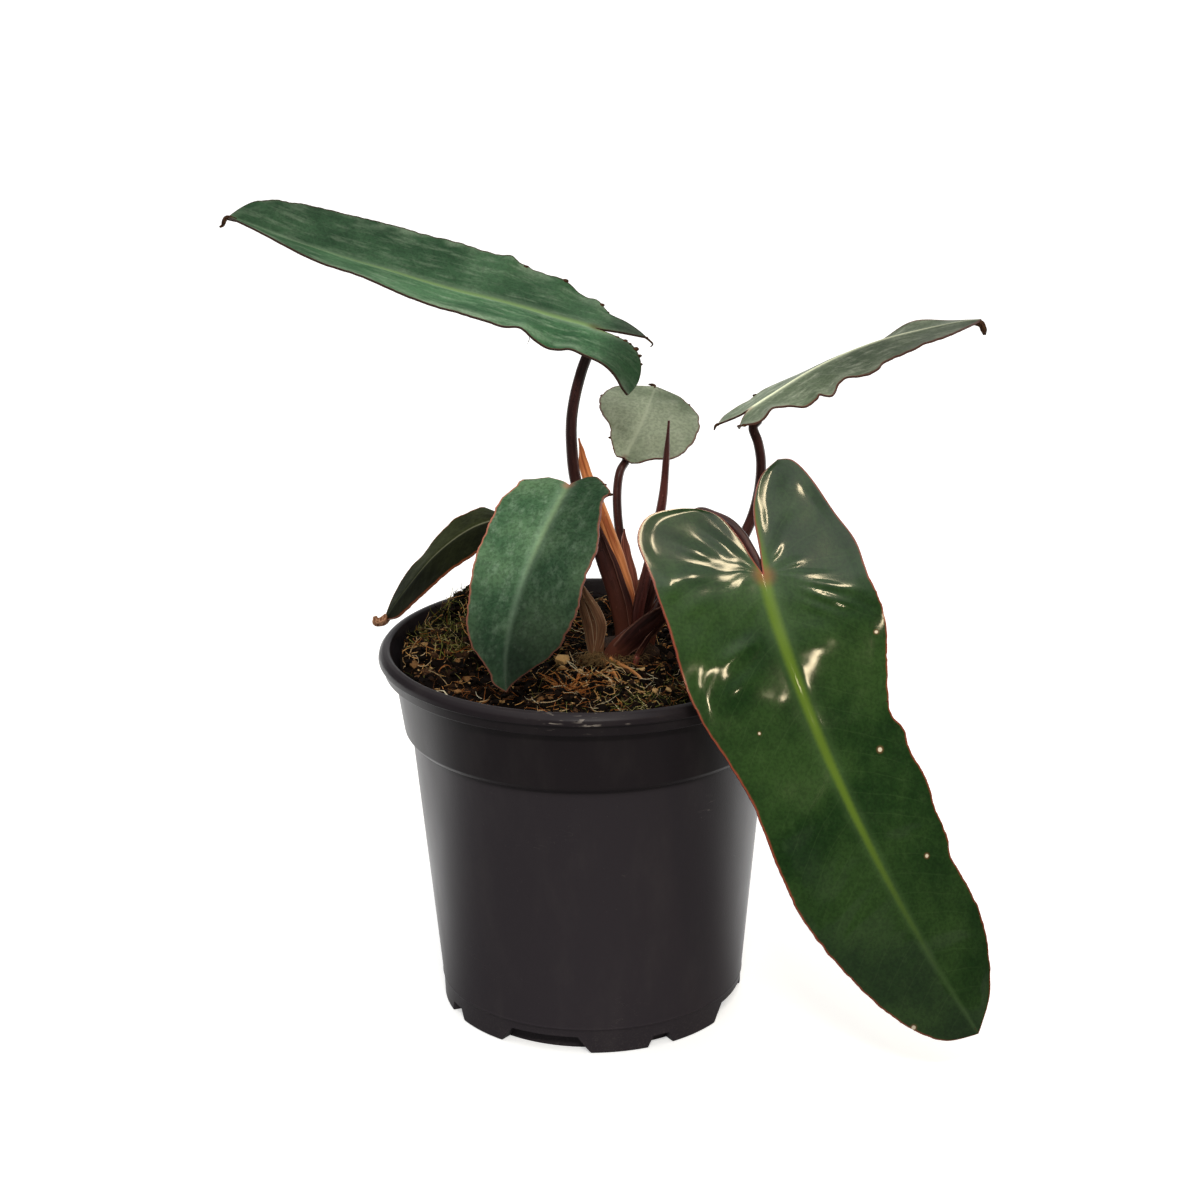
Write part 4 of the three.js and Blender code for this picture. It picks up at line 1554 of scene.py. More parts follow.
@dataclass
class LeafBlade:
    """A leaf blade with its midrib, lobes, waves, veins, thick lower rib and rim.

    Attributes:
        name: The name of the leaf.
        midrib: The four points of the midrib's Bezier curve.
        facing: The way that the upper side looks at the base and at the tip.
        right: The right half.
        left: The left half.
        finish: The look of the skin.
        slot: The record's material slot.
        dry_tip: The path of the dry curled tip.
        dry_radius: The half thickness of the dry tip.
        dry_look: The look of the dry tip and nibs.
        puckers: Small ridges as along, across, rise, half length, half width and slant in radians.
        quilt: How far the skin rises between the side veins.
        waves: How high the broad waves are.
        dimples: How high the small waves are.
        groove: How deep the groove over the midrib is.
        under_rib: How thick the midrib is below.
        ragged: How uneven the margin is.
        nibs: Hard bits on the margin as along, across and radius.
        curls: Dry threads as along, across, half thickness and path.
        rows: The faces along the blade.
        columns: The faces across a half.
        thickness: The thickness of the blade.
    """

    name: str
    midrib: tuple[Point, ...]
    facing: tuple[Point, Point]
    right: Half
    left: Half
    finish: LeafFinish
    slot: str
    dry_tip: tuple[Point, ...] = ()
    dry_radius: float = 0.8
    dry_look: DryFinish = DryFinish(dark=(0.02, 0.01, 0.006), light=(0.10, 0.045, 0.02))
    puckers: tuple[tuple[float, ...], ...] = ()
    quilt: float = 0.04
    waves: float = 0.5
    dimples: float = 0.04
    groove: float = 0.35
    under_rib: float = 1.0
    ragged: float = 0.5
    nibs: tuple[Point, ...] = ()
    curls: tuple[tuple[float, float, float, tuple[Point, ...]], ...] = ()
    rows: int = 170
    columns: int = 26
    thickness: float = 0.7

    def __post_init__(self) -> None:
        """Works out the midrib's curve."""
        self.curve = ArcCurve.bezier(self.midrib)

    def half(self, side: LeafSide) -> Half:
        """Gives one half of the blade."""
        return self.right if side is LeafSide.RIGHT else self.left

    def frame_at(self, distance: Rows) -> tuple[Rows, ...]:
        """Gives the blade's own directions at places of the midrib.

        Args:
            distance: The distances along the midrib.

        Returns:
            The share of the length, the place, and the ways ahead, to the right and up.
        """
        share = np.clip(distance / self.curve.length, 0, 1)
        ahead = self.curve.ahead(share)
        first, last = (np.array(way, float) for way in self.facing)
        eased_in = np.where(share < 0.1, share**2 / 0.2, share - 0.05)
        facing = first + (last - first) * eased_in[:, None]
        across = unit(np.cross(self.curve.ahead(eased_in), facing))
        place = self.curve.at(share) + ahead * np.minimum(distance, 0)[:, None]
        return share, place, ahead, across, unit(np.cross(across, ahead))

    def relief(self, distance: Rows, signed: Rows, edge: Rows) -> Rows:
        """Gives the low relief of the upper side: midrib groove, side veins, puckers and slight waves.

        Args:
            distance: The distance along the midrib.
            signed: The distance to the right of the midrib.
            edge: The distance from the margin.

        Returns:
            How far each point stands above the plain surface.
        """
        out = np.abs(signed)
        share = np.clip(distance / self.curve.length, 0, 1)
        lift = -self.groove * (1 - 0.6 * share) * np.exp(-((out / (2.2 - 1.4 * share)) ** 2))
        first = VEIN_SLANT * out + VEIN_BEND * out**2
        fan = np.arctan2(out, first + 1e-6) - np.arctan2(out, distance)
        phase = np.where(distance < first, fan / VEIN_FAN, (distance - first) / self.finish.vein_step)
        soft = np.clip(out / 5, 0, 1) * np.clip(edge / 4, 0, 1)
        spots = np.stack((distance, signed, 0 * signed + self.curve.length), -1)

        def wander(shift: float, scale: float) -> Rows:
            """Gives smooth noise at the spots."""
            return np.array([fractal(spot, scale, 2) for spot in spots + shift])

        uneven = wander(0.0, 0.07)
        near = self.quilt * (1 + np.exp(-((distance - 5) ** 2 + out**2) / 26**2))
        lift += near * soft * (0.6 + uneven) * np.cos(math.tau * (phase + 0.5 * uneven))
        lift += self.waves * np.clip(edge / 5, 0.2, 1) * wander(40.0, 0.035)
        lift += self.dimples * soft * wander(90.0, 0.075)
        for at, off, rise, long, wide, slant in self.puckers:
            x, y = distance - at, signed - off
            u = (x * math.cos(slant) + y * math.sin(slant)) / long
            v = (y * math.cos(slant) - x * math.sin(slant)) / wide
            lift += rise * np.exp(-(u**2) - v**2)
        return lift

    def points(
        self, distance: Rows, width: Rows, edge: Rows, share: Rows, side: LeafSide,
    ) -> Rows:
        """Lays points of the flat outline on the blade's surface.

        Args:
            distance: The distance along the midrib.
            width: The distance from the midrib.
            edge: The distance from the margin.
            share: The share of the way to the margin.
            side: The half of the blade.

        Returns:
            The points in space.
        """
        half = self.half(side)
        along, place, _, across, up = self.frame_at(distance)
        turn = half.twist * (np.minimum(distance, 0) / half.tip[0]) ** 3
        fold = np.radians(eased(half.fold, along) - turn)
        lift = width * np.sin(fold)
        for at, rise, reach in half.ruffles:
            lift += rise * share**2 * np.exp(-(((distance - at) / reach) ** 2))
        lift += self.relief(distance, side.value * width, edge)
        return place + across * (side.value * width * np.cos(fold))[:, None] + up * lift[:, None]

    def half_rows(self, half: Half) -> tuple[Rows, Rows]:
        """Draws the rows of faces of one half, flat.

        Args:
            half: The half.

        Returns:
            The inner and the outer end of each row.
        """
        length = self.curve.length
        inner = [half.tip, *reversed(half.inner), (0.0, 0.0)]
        outer = [half.tip, *half.outer, half.margin[0], half.margin[1]]
        reach = (len(half.outer) + 1) / (len(half.outer) + 2)
        lobe_rows = max(12, self.rows // 5)
        s = np.sin(math.pi / 2 * np.arange(lobe_rows + 1) / lobe_rows) ** 2
        edge = flat_spline([half.outer[-1], *half.margin, (length, 0.0)], np.linspace(0, 1, 4000))
        u = np.arange(1, self.rows + 1) / self.rows
        distance = length * (u + np.sin(math.pi / 2 * u)) / 2
        width = np.interp(distance, np.maximum.accumulate(edge[:, 0]), edge[:, 1])
        nibble = np.array([fractal((d, half.margin[0][1], 7.0), 0.33) for d in distance])
        width += self.ragged * nibble * np.clip(np.minimum(distance / 4, (length - distance) / 8), 0, 1)
        width[-1] = 0.0
        starts = np.vstack((flat_spline(inner, s), np.stack((distance, 0 * distance), -1)))
        return starts, np.vstack((flat_spline(outer, s * reach), np.stack((distance, width), -1)))

    def half_sheet(self, side: LeafSide) -> Bm:
        """Makes one half as an open sheet.

        Args:
            side: The half.

        Returns:
            The sheet, with the attribute leaf: along, signed across and edge distance.
        """
        start, end = self.half_rows(self.half(side))
        count = len(start) - 1
        facts: list[Rows] = []

        def place(u: Rows, v: Rows) -> Rows:
            """Places the grid between the rows' ends.

            Args:
                u: The share of the way across.
                v: The share of the way along.

            Returns:
                The places of the grid's points.
            """
            u = u if side is LeafSide.RIGHT else 1 - u
            share = u - 0.55 * np.sin(math.tau * u) / math.tau
            row = np.rint(v * count).astype(int)
            spots = start[row] * (1 - share)[:, None] + end[row] * share[:, None]
            reach = np.linalg.norm(end[row] - start[row], axis=1)
            inner = reach * share + 1.5 * np.maximum(spots[:, 0], 0)
            edge = np.minimum(reach * (1 - share), inner)
            width = np.maximum(spots[:, 1], 0)
            facts.append(np.stack((spots[:, 0], side.value * width, edge), -1))
            return self.points(spots[:, 0], width, edge, share, side)

        bm = mapped_grid(self.columns, count, place)
        layer = bm.verts.layers.float_vector.new("leaf")
        for v, fact in zip(bm.verts, facts[0]):
            v[layer] = fact
        return bm

    def spot(self, along: float, across: float) -> Rows:
        """Gives the place in space of one spot of the margin.

        Args:
            along: The distance along the midrib.
            across: The distance to the right of the midrib.

        Returns:
            The place.
        """
        side = LeafSide.RIGHT if across >= 0 else LeafSide.LEFT
        distance, width, edge, share = (np.array([k]) for k in (along, abs(across), 0.0, 1.0))
        return self.points(distance, width, edge, share, side)[0]

    def dry_bits(self, bm: Bm) -> None:
        """Adds the dry curled tip, the small hard nibs on the margin and the dry threads.

        Args:
            bm: The blade.
        """
        if self.dry_tip:
            radii = [self.dry_radius * k for k in DRY_TAPER]
            tip = rod_mesh(self.dry_tip, radii, sides=12, steps=24, flutes=self.dry_radius * 0.12)
            append(bm, tip, Skin.DRY.value)
        for along, across, size in self.nibs:
            nib = bmesh.new()
            bmesh.ops.create_icosphere(nib, subdivisions=2, radius=size)
            place = Vector(self.spot(along, across))
            for v in nib.verts:
                swell = 1 + 0.25 * fractal(v.co + place, 1.1, 2)
                v.co = Vector([a * b for a, b in zip(v.co, NIB_STRETCH)]) * swell + place
            append(bm, nib, Skin.DRY.value)
        for along, across, thick, path in self.curls:
            place = self.spot(along, across)
            points = [tuple(place + np.array(step)) for step in path]
            curl = rod_mesh(points, (thick, thick * 0.9, thick * 0.5), sides=8, steps=14)
            append(bm, curl, Skin.DRY.value)

    def skins(self, bm: Bm) -> None:
        """Gives the open sheet two skins, a rim between them and a rib below.

        Args:
            bm: The sheet.
        """
        layer = bm.verts.layers.float_vector["leaf"]
        upper, upper_faces = list(bm.verts), list(bm.faces)
        outward = [v.normal.copy() for v in upper]
        made = bmesh.ops.extrude_face_region(bm, geom=upper_faces, use_keep_orig=True)["geom"]
        lower = [g for g in made if isinstance(g, bmesh.types.BMVert)]
        lower_faces = {g for g in made if isinstance(g, bmesh.types.BMFace)}
        for face in set(bm.faces) - set(upper_faces):
            face.material_index = Skin.LOWER.value if face in lower_faces else Skin.RIM.value
        for v, twin, way in zip(upper, twins(upper, lower), outward):
            along, across, _ = v[layer]
            share = min(max(along / self.curve.length, 0), 1)
            drop = self.thickness / 2
            if along > 0:
                bulge = math.exp(-((across / (1.5 - 0.8 * share)) ** 2))
                drop += self.under_rib * (1 - 0.75 * share) * bulge
            twin.co = v.co - way * drop
            v.co = v.co + way * (self.thickness / 2)

    def mesh(self) -> Bm:
        """Joins the halves and gives them two skins and a rim.

        Returns:
            The closed blade as a new bmesh.
        """
        bm = bmesh.new()
        bm.verts.layers.float_vector.new("leaf")
        for side in LeafSide:
            append(bm, self.half_sheet(side), Skin.UPPER.value)
        bmesh.ops.remove_doubles(bm, verts=bm.verts, dist=2e-3)
        bmesh.ops.dissolve_degenerate(bm, edges=bm.edges, dist=1e-4)
        bm.normal_update()
        self.skins(bm)
        bmesh.ops.recalc_face_normals(bm, faces=bm.faces)
        self.dry_bits(bm)
        return bm

    def build(self) -> None:
        """Builds the blade with its upper skin, lower skin, rim and dry bits."""
        look, length = self.finish, self.curve.length
        materials = [
            LeafSkin(f"{self.name}_upper_skin", look, length).upper(),
            LeafSkin(f"{self.name}_lower_skin", look, length).lower(),
            rim_skin(f"{self.name}_rim", look.margin),
            self.dry_look.material(f"{self.name}_dry_tip"),
        ]
        finished(f"leaf_{self.name}", self.mesh(), materials, self.slot, [f"blade_{self.name}"], sharp=60)


DRY_TAPER = (0.8, 1.0, 0.9, 0.35)
NIB_STRETCH = (1.35, 1.0, 0.8)


def twins(upper: list[bmesh.types.BMVert], lower: list[bmesh.types.BMVert]) -> list[bmesh.types.BMVert]:
    """Finds the twin in the lower skin, which still lies on the upper one, of each of its points.

    Args:
        upper: The points of the upper skin.
        lower: The points of the lower skin.

    Returns:
        The twins, in the order of the upper skin.
    """
    tree = KDTree(len(lower))
    for k, v in enumerate(lower):
        tree.insert(v.co, k)
    tree.balance()
    return [lower[tree.find(v.co)[1]] for v in upper]


LEAVES = {
    "upper_left": LeafBlade(
        name="upper_left",
        midrib=((3.8, 13, 246.4), (-13, 15.5, 252), (-69, 26, 261.45), (-125, 32, 283.12)),
        facing=((0, -0.2, 0.97), (0, -0.17, 0.98)),
        right=Half(
            fold=(-3, 12, 16, 22), inner=((-5, 1.8), (-10, 3.6)), tip=(-17.4, 6.2),
            outer=((-14, 9.5), (-8.5, 13)),
            margin=((-2, 14.8), (4, 19.5), (20, 24), (43, 25.5), (67, 25), (92, 23), (114, 19), (129, 12)),
            ruffles=((4, 1.5, 3), (18, 2.2, 5), (38, 1.6, 3), (57, 0.8, 8)),
        ),
        left=Half(
            fold=(0, 9, 14.5, 25), inner=((-7, 0.6), (-14, 2.8), (-18.8, 8), (-20.2, 15)),
            tip=(-18.6, 23.5),
            outer=((-16, 24.2), (-12, 23.4)), twist=24,
            margin=((-4, 22.5), (10, 23), (24, 24), (43, 24.5), (67, 25), (92, 23), (114, 19), (129, 12)),
            ruffles=((4, 0.9, 3), (12, -1.6, 5), (23, 2.2, 4), (80, 0.8, 12)),
        ),
        dry_tip=((-122, 31.5, 282.3), (-125.5, 32, 282.8), (-126.9, 32, 280.2), (-128.0, 32, 279.6)),
        dry_radius=0.9,
        nibs=(
            (32, 24.8, 0.9), (17, 23.4, 1.0), (2, 18, 0.9), (-1, 15.4, 0.7), (-8, -1.2, 0.7),
            (-11, -1.8, 0.9), (-13, -2.6, 0.7),
            (-15.5, -3.8, 1.0), (-17.5, -5.8, 0.8), (-19, -8.5, 0.6), (-17.4, 6.3, 0.5),
        ),
        curls=(
            (-17.2, 6.2, 0.4, ((0, 0, 0), (1.2, 0, -1.0), (2.4, 0, -2.4), (1.6, 0, -3.4))),
            (19, -23.6, 0.12, ((0, 0, 0), (-0.3, 0, -1.5), (-0.9, 0, -2.8))),
        ),
        dimples=0.10,
        finish=LeafFinish(
            deep=(0.018, 0.064, 0.024), green=(0.054, 0.134, 0.060), pale=(0.26, 0.36, 0.24), run=0.25,
            # Painted light and shade: the left half lighter, the lobes and the tip darker, and a painted
            # sheen along the margin.
            halves=(0.95, 1.6), lobes=0.36, shine=0.1,
            painted_edge_sheen=0.5, midrib=(0.145, 0.235, 0.09), margin=(0.055, 0.022, 0.012),
            under=(0.10, 0.13, 0.05), rough=0.45,
            midrib_width=(1.9, 0.3), shade=(1.0, 0.8, 0.3, 0.9), vein_show=0.03, dust=0.5,
        ),
        slot="leaf_dull",
    ),
    "upper_right": LeafBlade(
        name="upper_right",
        midrib=((58, 24, 213), (88, 33, 233.5), (112, 35, 239), (141.5, 38, 242)),
        facing=((0, 0.07, 1), (0, 0.04, 1)),
        right=Half(
            fold=(-3, -12, -9, -2), inner=((-4, 2.5),), tip=(-7.5, 7.5), outer=((-5.5, 13),),
            margin=(
                (0, 14.6), (6, 15.2), (10, 15.8), (14, 20.4), (20, 21), (22.2, 19.8), (24.5, 21.8),
                (28, 21.4), (31, 19),
                (36, 19), (40, 20.4), (46, 20.5), (50, 18.4), (61, 16.8), (74, 12.8), (84, 7),
            ),
            ruffles=(
                (-6, 1.8, 3), (5, 1.8, 3), (16, -1.2, 4), (21.8, 0.5, 1.2), (25.5, -0.8, 2.5),
                (33, 1.0, 3.5), (43, -0.7, 4), (66, 0.8, 5),
            ),
        ),
        left=Half(
            fold=(-6, -14, -19, -8), inner=((-5, 6),), tip=(-10, 13.5), outer=((-6, 18),),
            margin=((0, 18), (13, 20), (29, 21), (45, 20.5), (61, 17.5), (74, 13.5), (84, 8)),
            ruffles=((5, -0.8, 4), (42, 0.4, 5), (68, 5.0, 11)),
        ),
        dry_tip=((139.2, 37.8, 241.2), (141.5, 38, 240.6), (142.4, 38, 239), (142.8, 38, 236.7)),
        dry_radius=1.3,
        groove=-0.5,
        nibs=((8, -19.4, 0.9), (53, -19.2, 0.9), (-6, 12.5, 0.7)),
        curls=((-9.8, -13.6, 0.55, ((0, 0, 0), (-1.0, 0, -0.5), (-1.6, 0, -2.2))),),
        finish=LeafFinish(
            deep=(0.040, 0.060, 0.032), green=(0.075, 0.101, 0.058), pale=(0.34, 0.37, 0.28), run=0.3,
            # Painted light: the whole blade brightened, most at the base, the right half a little darker, and
            # a painted sheen along the margin.
            dust=0.6, painted_edge_sheen=0.25, halves=(0.75, 1.0),
            midrib=(0.52, 0.55, 0.38), margin=(0.10, 0.035, 0.02), under=(0.12, 0.14, 0.07), rough=0.45,
            midrib_width=(1.2, 0.4), midrib_end=1.2, shade=(2.7, 1.35, 0.02, 0.66),
        ),
        slot="leaf_pale",
    ),
    "front_right": LeafBlade(
        name="front_right",
        midrib=((59, -47.93, 175.5), (63.5, -68.43, 155), (88, -79.93, 90), (132, -81.93, 20.5)),
        facing=((0.2, -0.78, 0.5), (0.25, -0.93, 0.23)),
        right=Half(
            fold=(8, 0, -8), inner=((-6, 3), (-13.5, 6), (-22, 11.5)), tip=(-25, 19),
            outer=((-24.7, 28), (-21.5, 38), (-13, 42.8)),
            margin=(
                (-1, 41), (16, 38.3), (28, 38.5), (40, 36.8), (55, 33), (70, 30.6), (94, 32.1), (112, 32),
                (129, 28.8), (148, 24), (164, 17.5), (173, 10.5),
            ),
        ),
        left=Half(
            fold=(-1, -8, -15), inner=((-10, 0.8), (-22, 1.2), (-30, 3), (-38, 7)), tip=(-43.8, 14),
            outer=((-43, 19.5), (-35, 24.8), (-22, 30), (-11, 35)),
            margin=(
                (0, 36.5), (16, 38.2), (31, 37), (52, 30.5), (62, 28), (69, 30.3), (77, 29.2), (90, 30.2),
                (101, 28.4), (113, 27.6), (120, 25.3), (133, 25.9), (146, 24.7), (158, 20), (170, 11.7),
            ),
        ),
        finish=LeafFinish(
            deep=(0.012, 0.040, 0.008), green=(0.034, 0.080, 0.018), pale=(0.10, 0.18, 0.06),
            midrib=(0.12, 0.20, 0.022), margin=(0.34, 0.07, 0.04), under=(0.12, 0.10, 0.05), rough=0.30,
            # Painted shade: the tip and the lobes darker, the base a little lighter.
            midrib_width=(2.7, 0.3), shade=(1.1, 0.78, 0.35, 0.95), vein_step=8.0, coat=0.58, shine=0.06,
            dust=0.14, vein_show=0.09, midrib_end=0.88, lobes=0.75,
            spots=(
                (72, -19, 1.0), (114, -17.3, 0.8), (49.5, 19.2, 0.5), (30.1, -33.2, 0.8),
                (162.4, 17.4, 0.9),
            ),
        ),
        slot="leaf_glossy",
        rows=230,
        columns=40,
        quilt=0.03,
        dimples=0.05,
        ragged=0.3,
        nibs=((57, -28.2, 0.55),),
        waves=0.8,
        puckers=(
            (-12, 14, 0.55, 7, 2.3, 2.35), (-8, 22, 0.55, 8, 2.6, 1.95), (1, 24, 0.50, 8, 2.6, 1.55),
            (9, 25, 0.40, 8, 2.6, 1.30), (5, 35, 0.55, 4, 3.0, 1.40), (24.5, 17, 0.85, 7, 2.6, 1.28),
            (35, 22, 0.55, 8, 3.0, 1.25), (-8.5, -6, 0.60, 5, 1.6, -2.5), (-3, -10, 0.45, 6, 1.5, -1.9),
            (1, -14, 0.50, 9, 1.5, -1.5), (5, -18, 0.60, 11, 1.6, -1.28), (10, -18, 0.60, 10, 1.7, -1.05),
            (15, -16, 0.40, 8, 1.8, -0.9),
            (-20, -15, 0.5, 9, 4.0, -2.4), (-33, -17, 0.5, 6, 4.5, -2.6),
            (60, -15, 0.5, 11, 4.5, -1.2), (80, 14, 0.45, 12, 4.0, 1.2), (98, -14, 0.5, 11, 4.0, -1.2),
            (113, 14, 0.5, 12, 3.5, 1.2), (122, 16, 0.45, 12, 3.5, 1.2), (140, -9, 0.5, 9, 4.0, -1.15),
            (146, 11, 0.4, 8, 3.5, 1.15),
        ),
        under_rib=1.4,
    ),
    "front_left": LeafBlade(
        name="front_left",
        midrib=((-6, -12, 197), (-10.5, -29, 193.5), (-30.5, -51, 165.5), (-27.5, -61, 139)),
        facing=((-0.13, -0.41, 0.9), (0, -0.6, 0.8)),
        right=Half(
            fold=(1, -0.5, -2), inner=((-1.8, 2.5),), tip=(-4, 8.5), outer=((-2.4, 12),),
            margin=(
                (0.7, 17), (8, 18.7), (15.6, 20.6), (26, 20), (36, 19.8), (44, 18.6), (53, 16.8), (62, 15),
                (68, 12), (73, 7.4), (76, 5.2), (79, 4.2),
            ),
            ruffles=((1, 0.8, 2), (33, -0.6, 3)),
        ),
        left=Half(
            fold=(7, 2, -3), inner=((-1.5, 1.2),), tip=(-4.5, 5.5), outer=((-4, 9),),
            margin=(
                (1.5, 13.5), (5.5, 17), (8, 15.8), (15, 17.6), (21, 20), (28, 21.3), (34, 20.6), (45, 21.4),
                (51, 21.4), (60.5, 19), (68, 15), (74, 8.5), (78.5, 3),
            ),
            ruffles=((4, -0.8, 2.5), (12, 0.8, 3), (33, -0.6, 3)),
        ),
        nibs=((1.2, -13.2, 0.6), (5.8, -17, 0.7), (-3.4, -8, 0.5), (-3, 11, 0.45)),
        puckers=(
            (10, -10, 0.6, 9, 0.9, -1.5), (14, -11, 0.5, 9, 0.9, -1.45), (18, -12, 0.5, 8, 1.0, -1.4),
            (23, -11, 0.4, 8, 1.1, -1.3), (31, 12, 0.35, 9, 1.8, 1.2),
        ),
        finish=LeafFinish(
            deep=(0.022, 0.055, 0.026), green=(0.056, 0.104, 0.053), pale=(0.15, 0.22, 0.15),
            vein_show=0.05, dust=0.45, mottle=0.5,
            midrib=(0.22, 0.29, 0.11), margin=(0.24, 0.08, 0.055), under=(0.09, 0.11, 0.05), rough=0.5,
            midrib_width=(1.6, 0.25), vein_step=5.5, midrib_show=0.14, midrib_end=0.6,
            # Painted light and shade: the base lighter, the tip much darker, and the right half lighter than
            # the left.
            shade=(1.45, 0.40, 0.35, 0.9), shine=0.06, halves=(1.7, 0.85),
        ),
        slot="leaf_dull",
    ),
    "far_left": LeafBlade(
        name="far_left",
        midrib=((-21, 6, 179), (-29, -1.5, 182), (-46, -2.5, 186.5), (-72, -5.5, 146)),
        facing=((-0.1, -0.12, 0.99), (-0.7, -0.12, 0.7)),
        right=Half(
            fold=(-4.5, -4.5, -4.5), inner=((-3, 2.5),), tip=(-6.5, 7.5), outer=((-5, 13),),
            margin=(
                (0, 16.5), (10, 17.5), (20, 16.8), (33, 16.3), (41, 14), (50, 14.5), (57, 12.8), (63, 8),
            ),
            ruffles=((26, 0.6, 4), (44, -0.6, 4)),
        ),
        left=Half(
            fold=(-5.5, -5.5, -6), inner=((-3, 2.5),), tip=(-6.5, 7.5), outer=((-5, 13),),
            margin=((0, 16.5), (10, 17.5), (24, 17), (37, 16.8), (46, 15.4), (54, 13), (62, 9)),
            ruffles=((29, -0.6, 4),),
        ),
        dry_tip=((-71, -5.4, 147.5), (-73, -5.8, 145.6), (-74.8, -6, 145.4), (-75.4, -6, 147.6)),
        dry_radius=1.7,
        dry_look=DryFinish(dark=(0.16, 0.06, 0.03), light=(0.55, 0.30, 0.17)),
        finish=LeafFinish(
            deep=(0.009, 0.011, 0.004), green=(0.026, 0.031, 0.011), pale=(0.06, 0.07, 0.03),
            midrib=(0.16, 0.16, 0.10), margin=(0.30, 0.08, 0.025), under=(0.06, 0.07, 0.03), rough=0.6,
            # Painted light and shade: the right half lighter and the left half darker.
            halves=(1.7, 0.55),
            midrib_width=(0.7, 0.2), vein_step=5.0, shine=0.02,
        ),
        slot="leaf_dull",
    ),
    "upper_middle": LeafBlade(
        name="upper_middle",
        midrib=((13.3, 26, 195.8), (22.7, 38, 208.9), (22.3, 49.5, 209.2), (25.6, 62, 212.7)),
        facing=((0.1, -0.5, 0.85), (0.1, -0.3, 0.95)),
        right=Half(
            fold=(-4, -3.5, -3), inner=((-0.4, 1.4),), tip=(-0.8, 3.2), outer=((0.6, 5.8),),
            margin=(
                (3, 8.5), (5.5, 12), (8, 15.8), (12, 18.7), (18, 20.3), (24, 20), (30, 17.8), (35, 13.8),
                (39.5, 9),
            ),
            ruffles=((3.5, 0.7, 1.8), (8, -0.7, 2)),
        ),
        left=Half(
            fold=(0, -2, -3.5), inner=((-0.3, 1.2),), tip=(-0.7, 2.6), outer=((0.3, 4),),
            margin=(
                (2, 5.5), (5.5, 8), (9, 9.4), (12, 11.4), (16, 15), (23.5, 17.8), (30, 17.8), (36, 16),
                (39.5, 12.5),
            ),
            ruffles=((10, -0.7, 2),),
        ),
        nibs=((5.5, -8.2, 0.5), (11, 18, 0.45), (35, 13.8, 0.5), (30, -17.8, 0.5)),
        puckers=(
            (14, 8, 0.5, 6, 2.5, 1.1), (22, -8, 0.5, 6, 2.5, -1.1), (30, 6, 0.4, 6, 2.5, 1.0),
            (9, 4, 0.4, 4, 2, 0.8),
        ),
        dry_tip=((25.2, 61, 212.3), (25, 63.5, 212.8), (23, 65, 213)),
        dry_radius=0.6,
        finish=LeafFinish(
            deep=(0.13, 0.175, 0.10), green=(0.31, 0.36, 0.245), pale=(0.42, 0.46, 0.34), vein_show=0.04,
            # Painted light: a painted sheen along the margin, and the left half a little lighter than the
            # right.
            dust=0.6, halves=(0.88, 1.03), painted_edge_sheen=0.2,
            midrib=(0.42, 0.47, 0.33), margin=(0.12, 0.03, 0.02), under=(0.14, 0.16, 0.08), rough=0.45,
            midrib_width=(0.8, 0.2), vein_step=5.0, midrib_show=0.5,
        ),
        slot="leaf_pale",
        rows=120,
    ),
}


# The stalks


@dataclass(frozen=True)
class Trough:
    """A narrow bent strip, such as the clasping base of a stalk or a dry sheath.

    Attributes:
        path: The points of its middle line.
        widths: Its half widths, evenly spaced from base to top.
        looks: The way that its outer face looks.
        hollow: How strongly its edges bend back.
        pleat: How deep its lengthwise pleats are, in millimetres.
        pleats: How closely the pleats follow one another, in radians for each millimetre.
        thickness: Its thickness.
        columns: The faces across.
        rows: The faces along.
    """

    path: tuple[Point, ...]
    widths: tuple[float, ...]
    looks: Point = (0.1, -1.0, 0.1)
    hollow: float = 0.05
    pleat: float = 0.10
    pleats: float = 4.2
    thickness: float = 0.6
    columns: int = 16
    rows: int = 90

    def mesh(self) -> Bm:
        """Builds the strip as a bent sheet with a thickness.

        Returns:
            The strip as a new bmesh, with the attribute rod.
        """
        curve = ArcCurve.through(self.path)

        def place(u: Rows, v: Rows) -> Rows:
            """Bends the grid into the trough.

            Args:
                u: The share of the way across.
                v: The share of the way along.

            Returns:
                The places of the grid's points.
            """
            ahead = curve.ahead(v)
            across = unit(np.cross(ahead, np.array(self.looks)))
            out = np.cross(across, ahead)
            offset = (u - 0.5) * 2 * eased(self.widths, v)
            bend = self.pleat * np.sin(offset * self.pleats) - self.hollow * offset**2
            return curve.at(v) + across * offset[:, None] + out * bend[:, None]

        bm = mapped_grid(self.columns, self.rows, place)
        mark_rod(bm, self.columns, self.rows, curve.length)
        bmesh.ops.recalc_face_normals(bm, faces=bm.faces)
        bmesh.ops.solidify(bm, geom=bm.faces, thickness=self.thickness)
        return bm


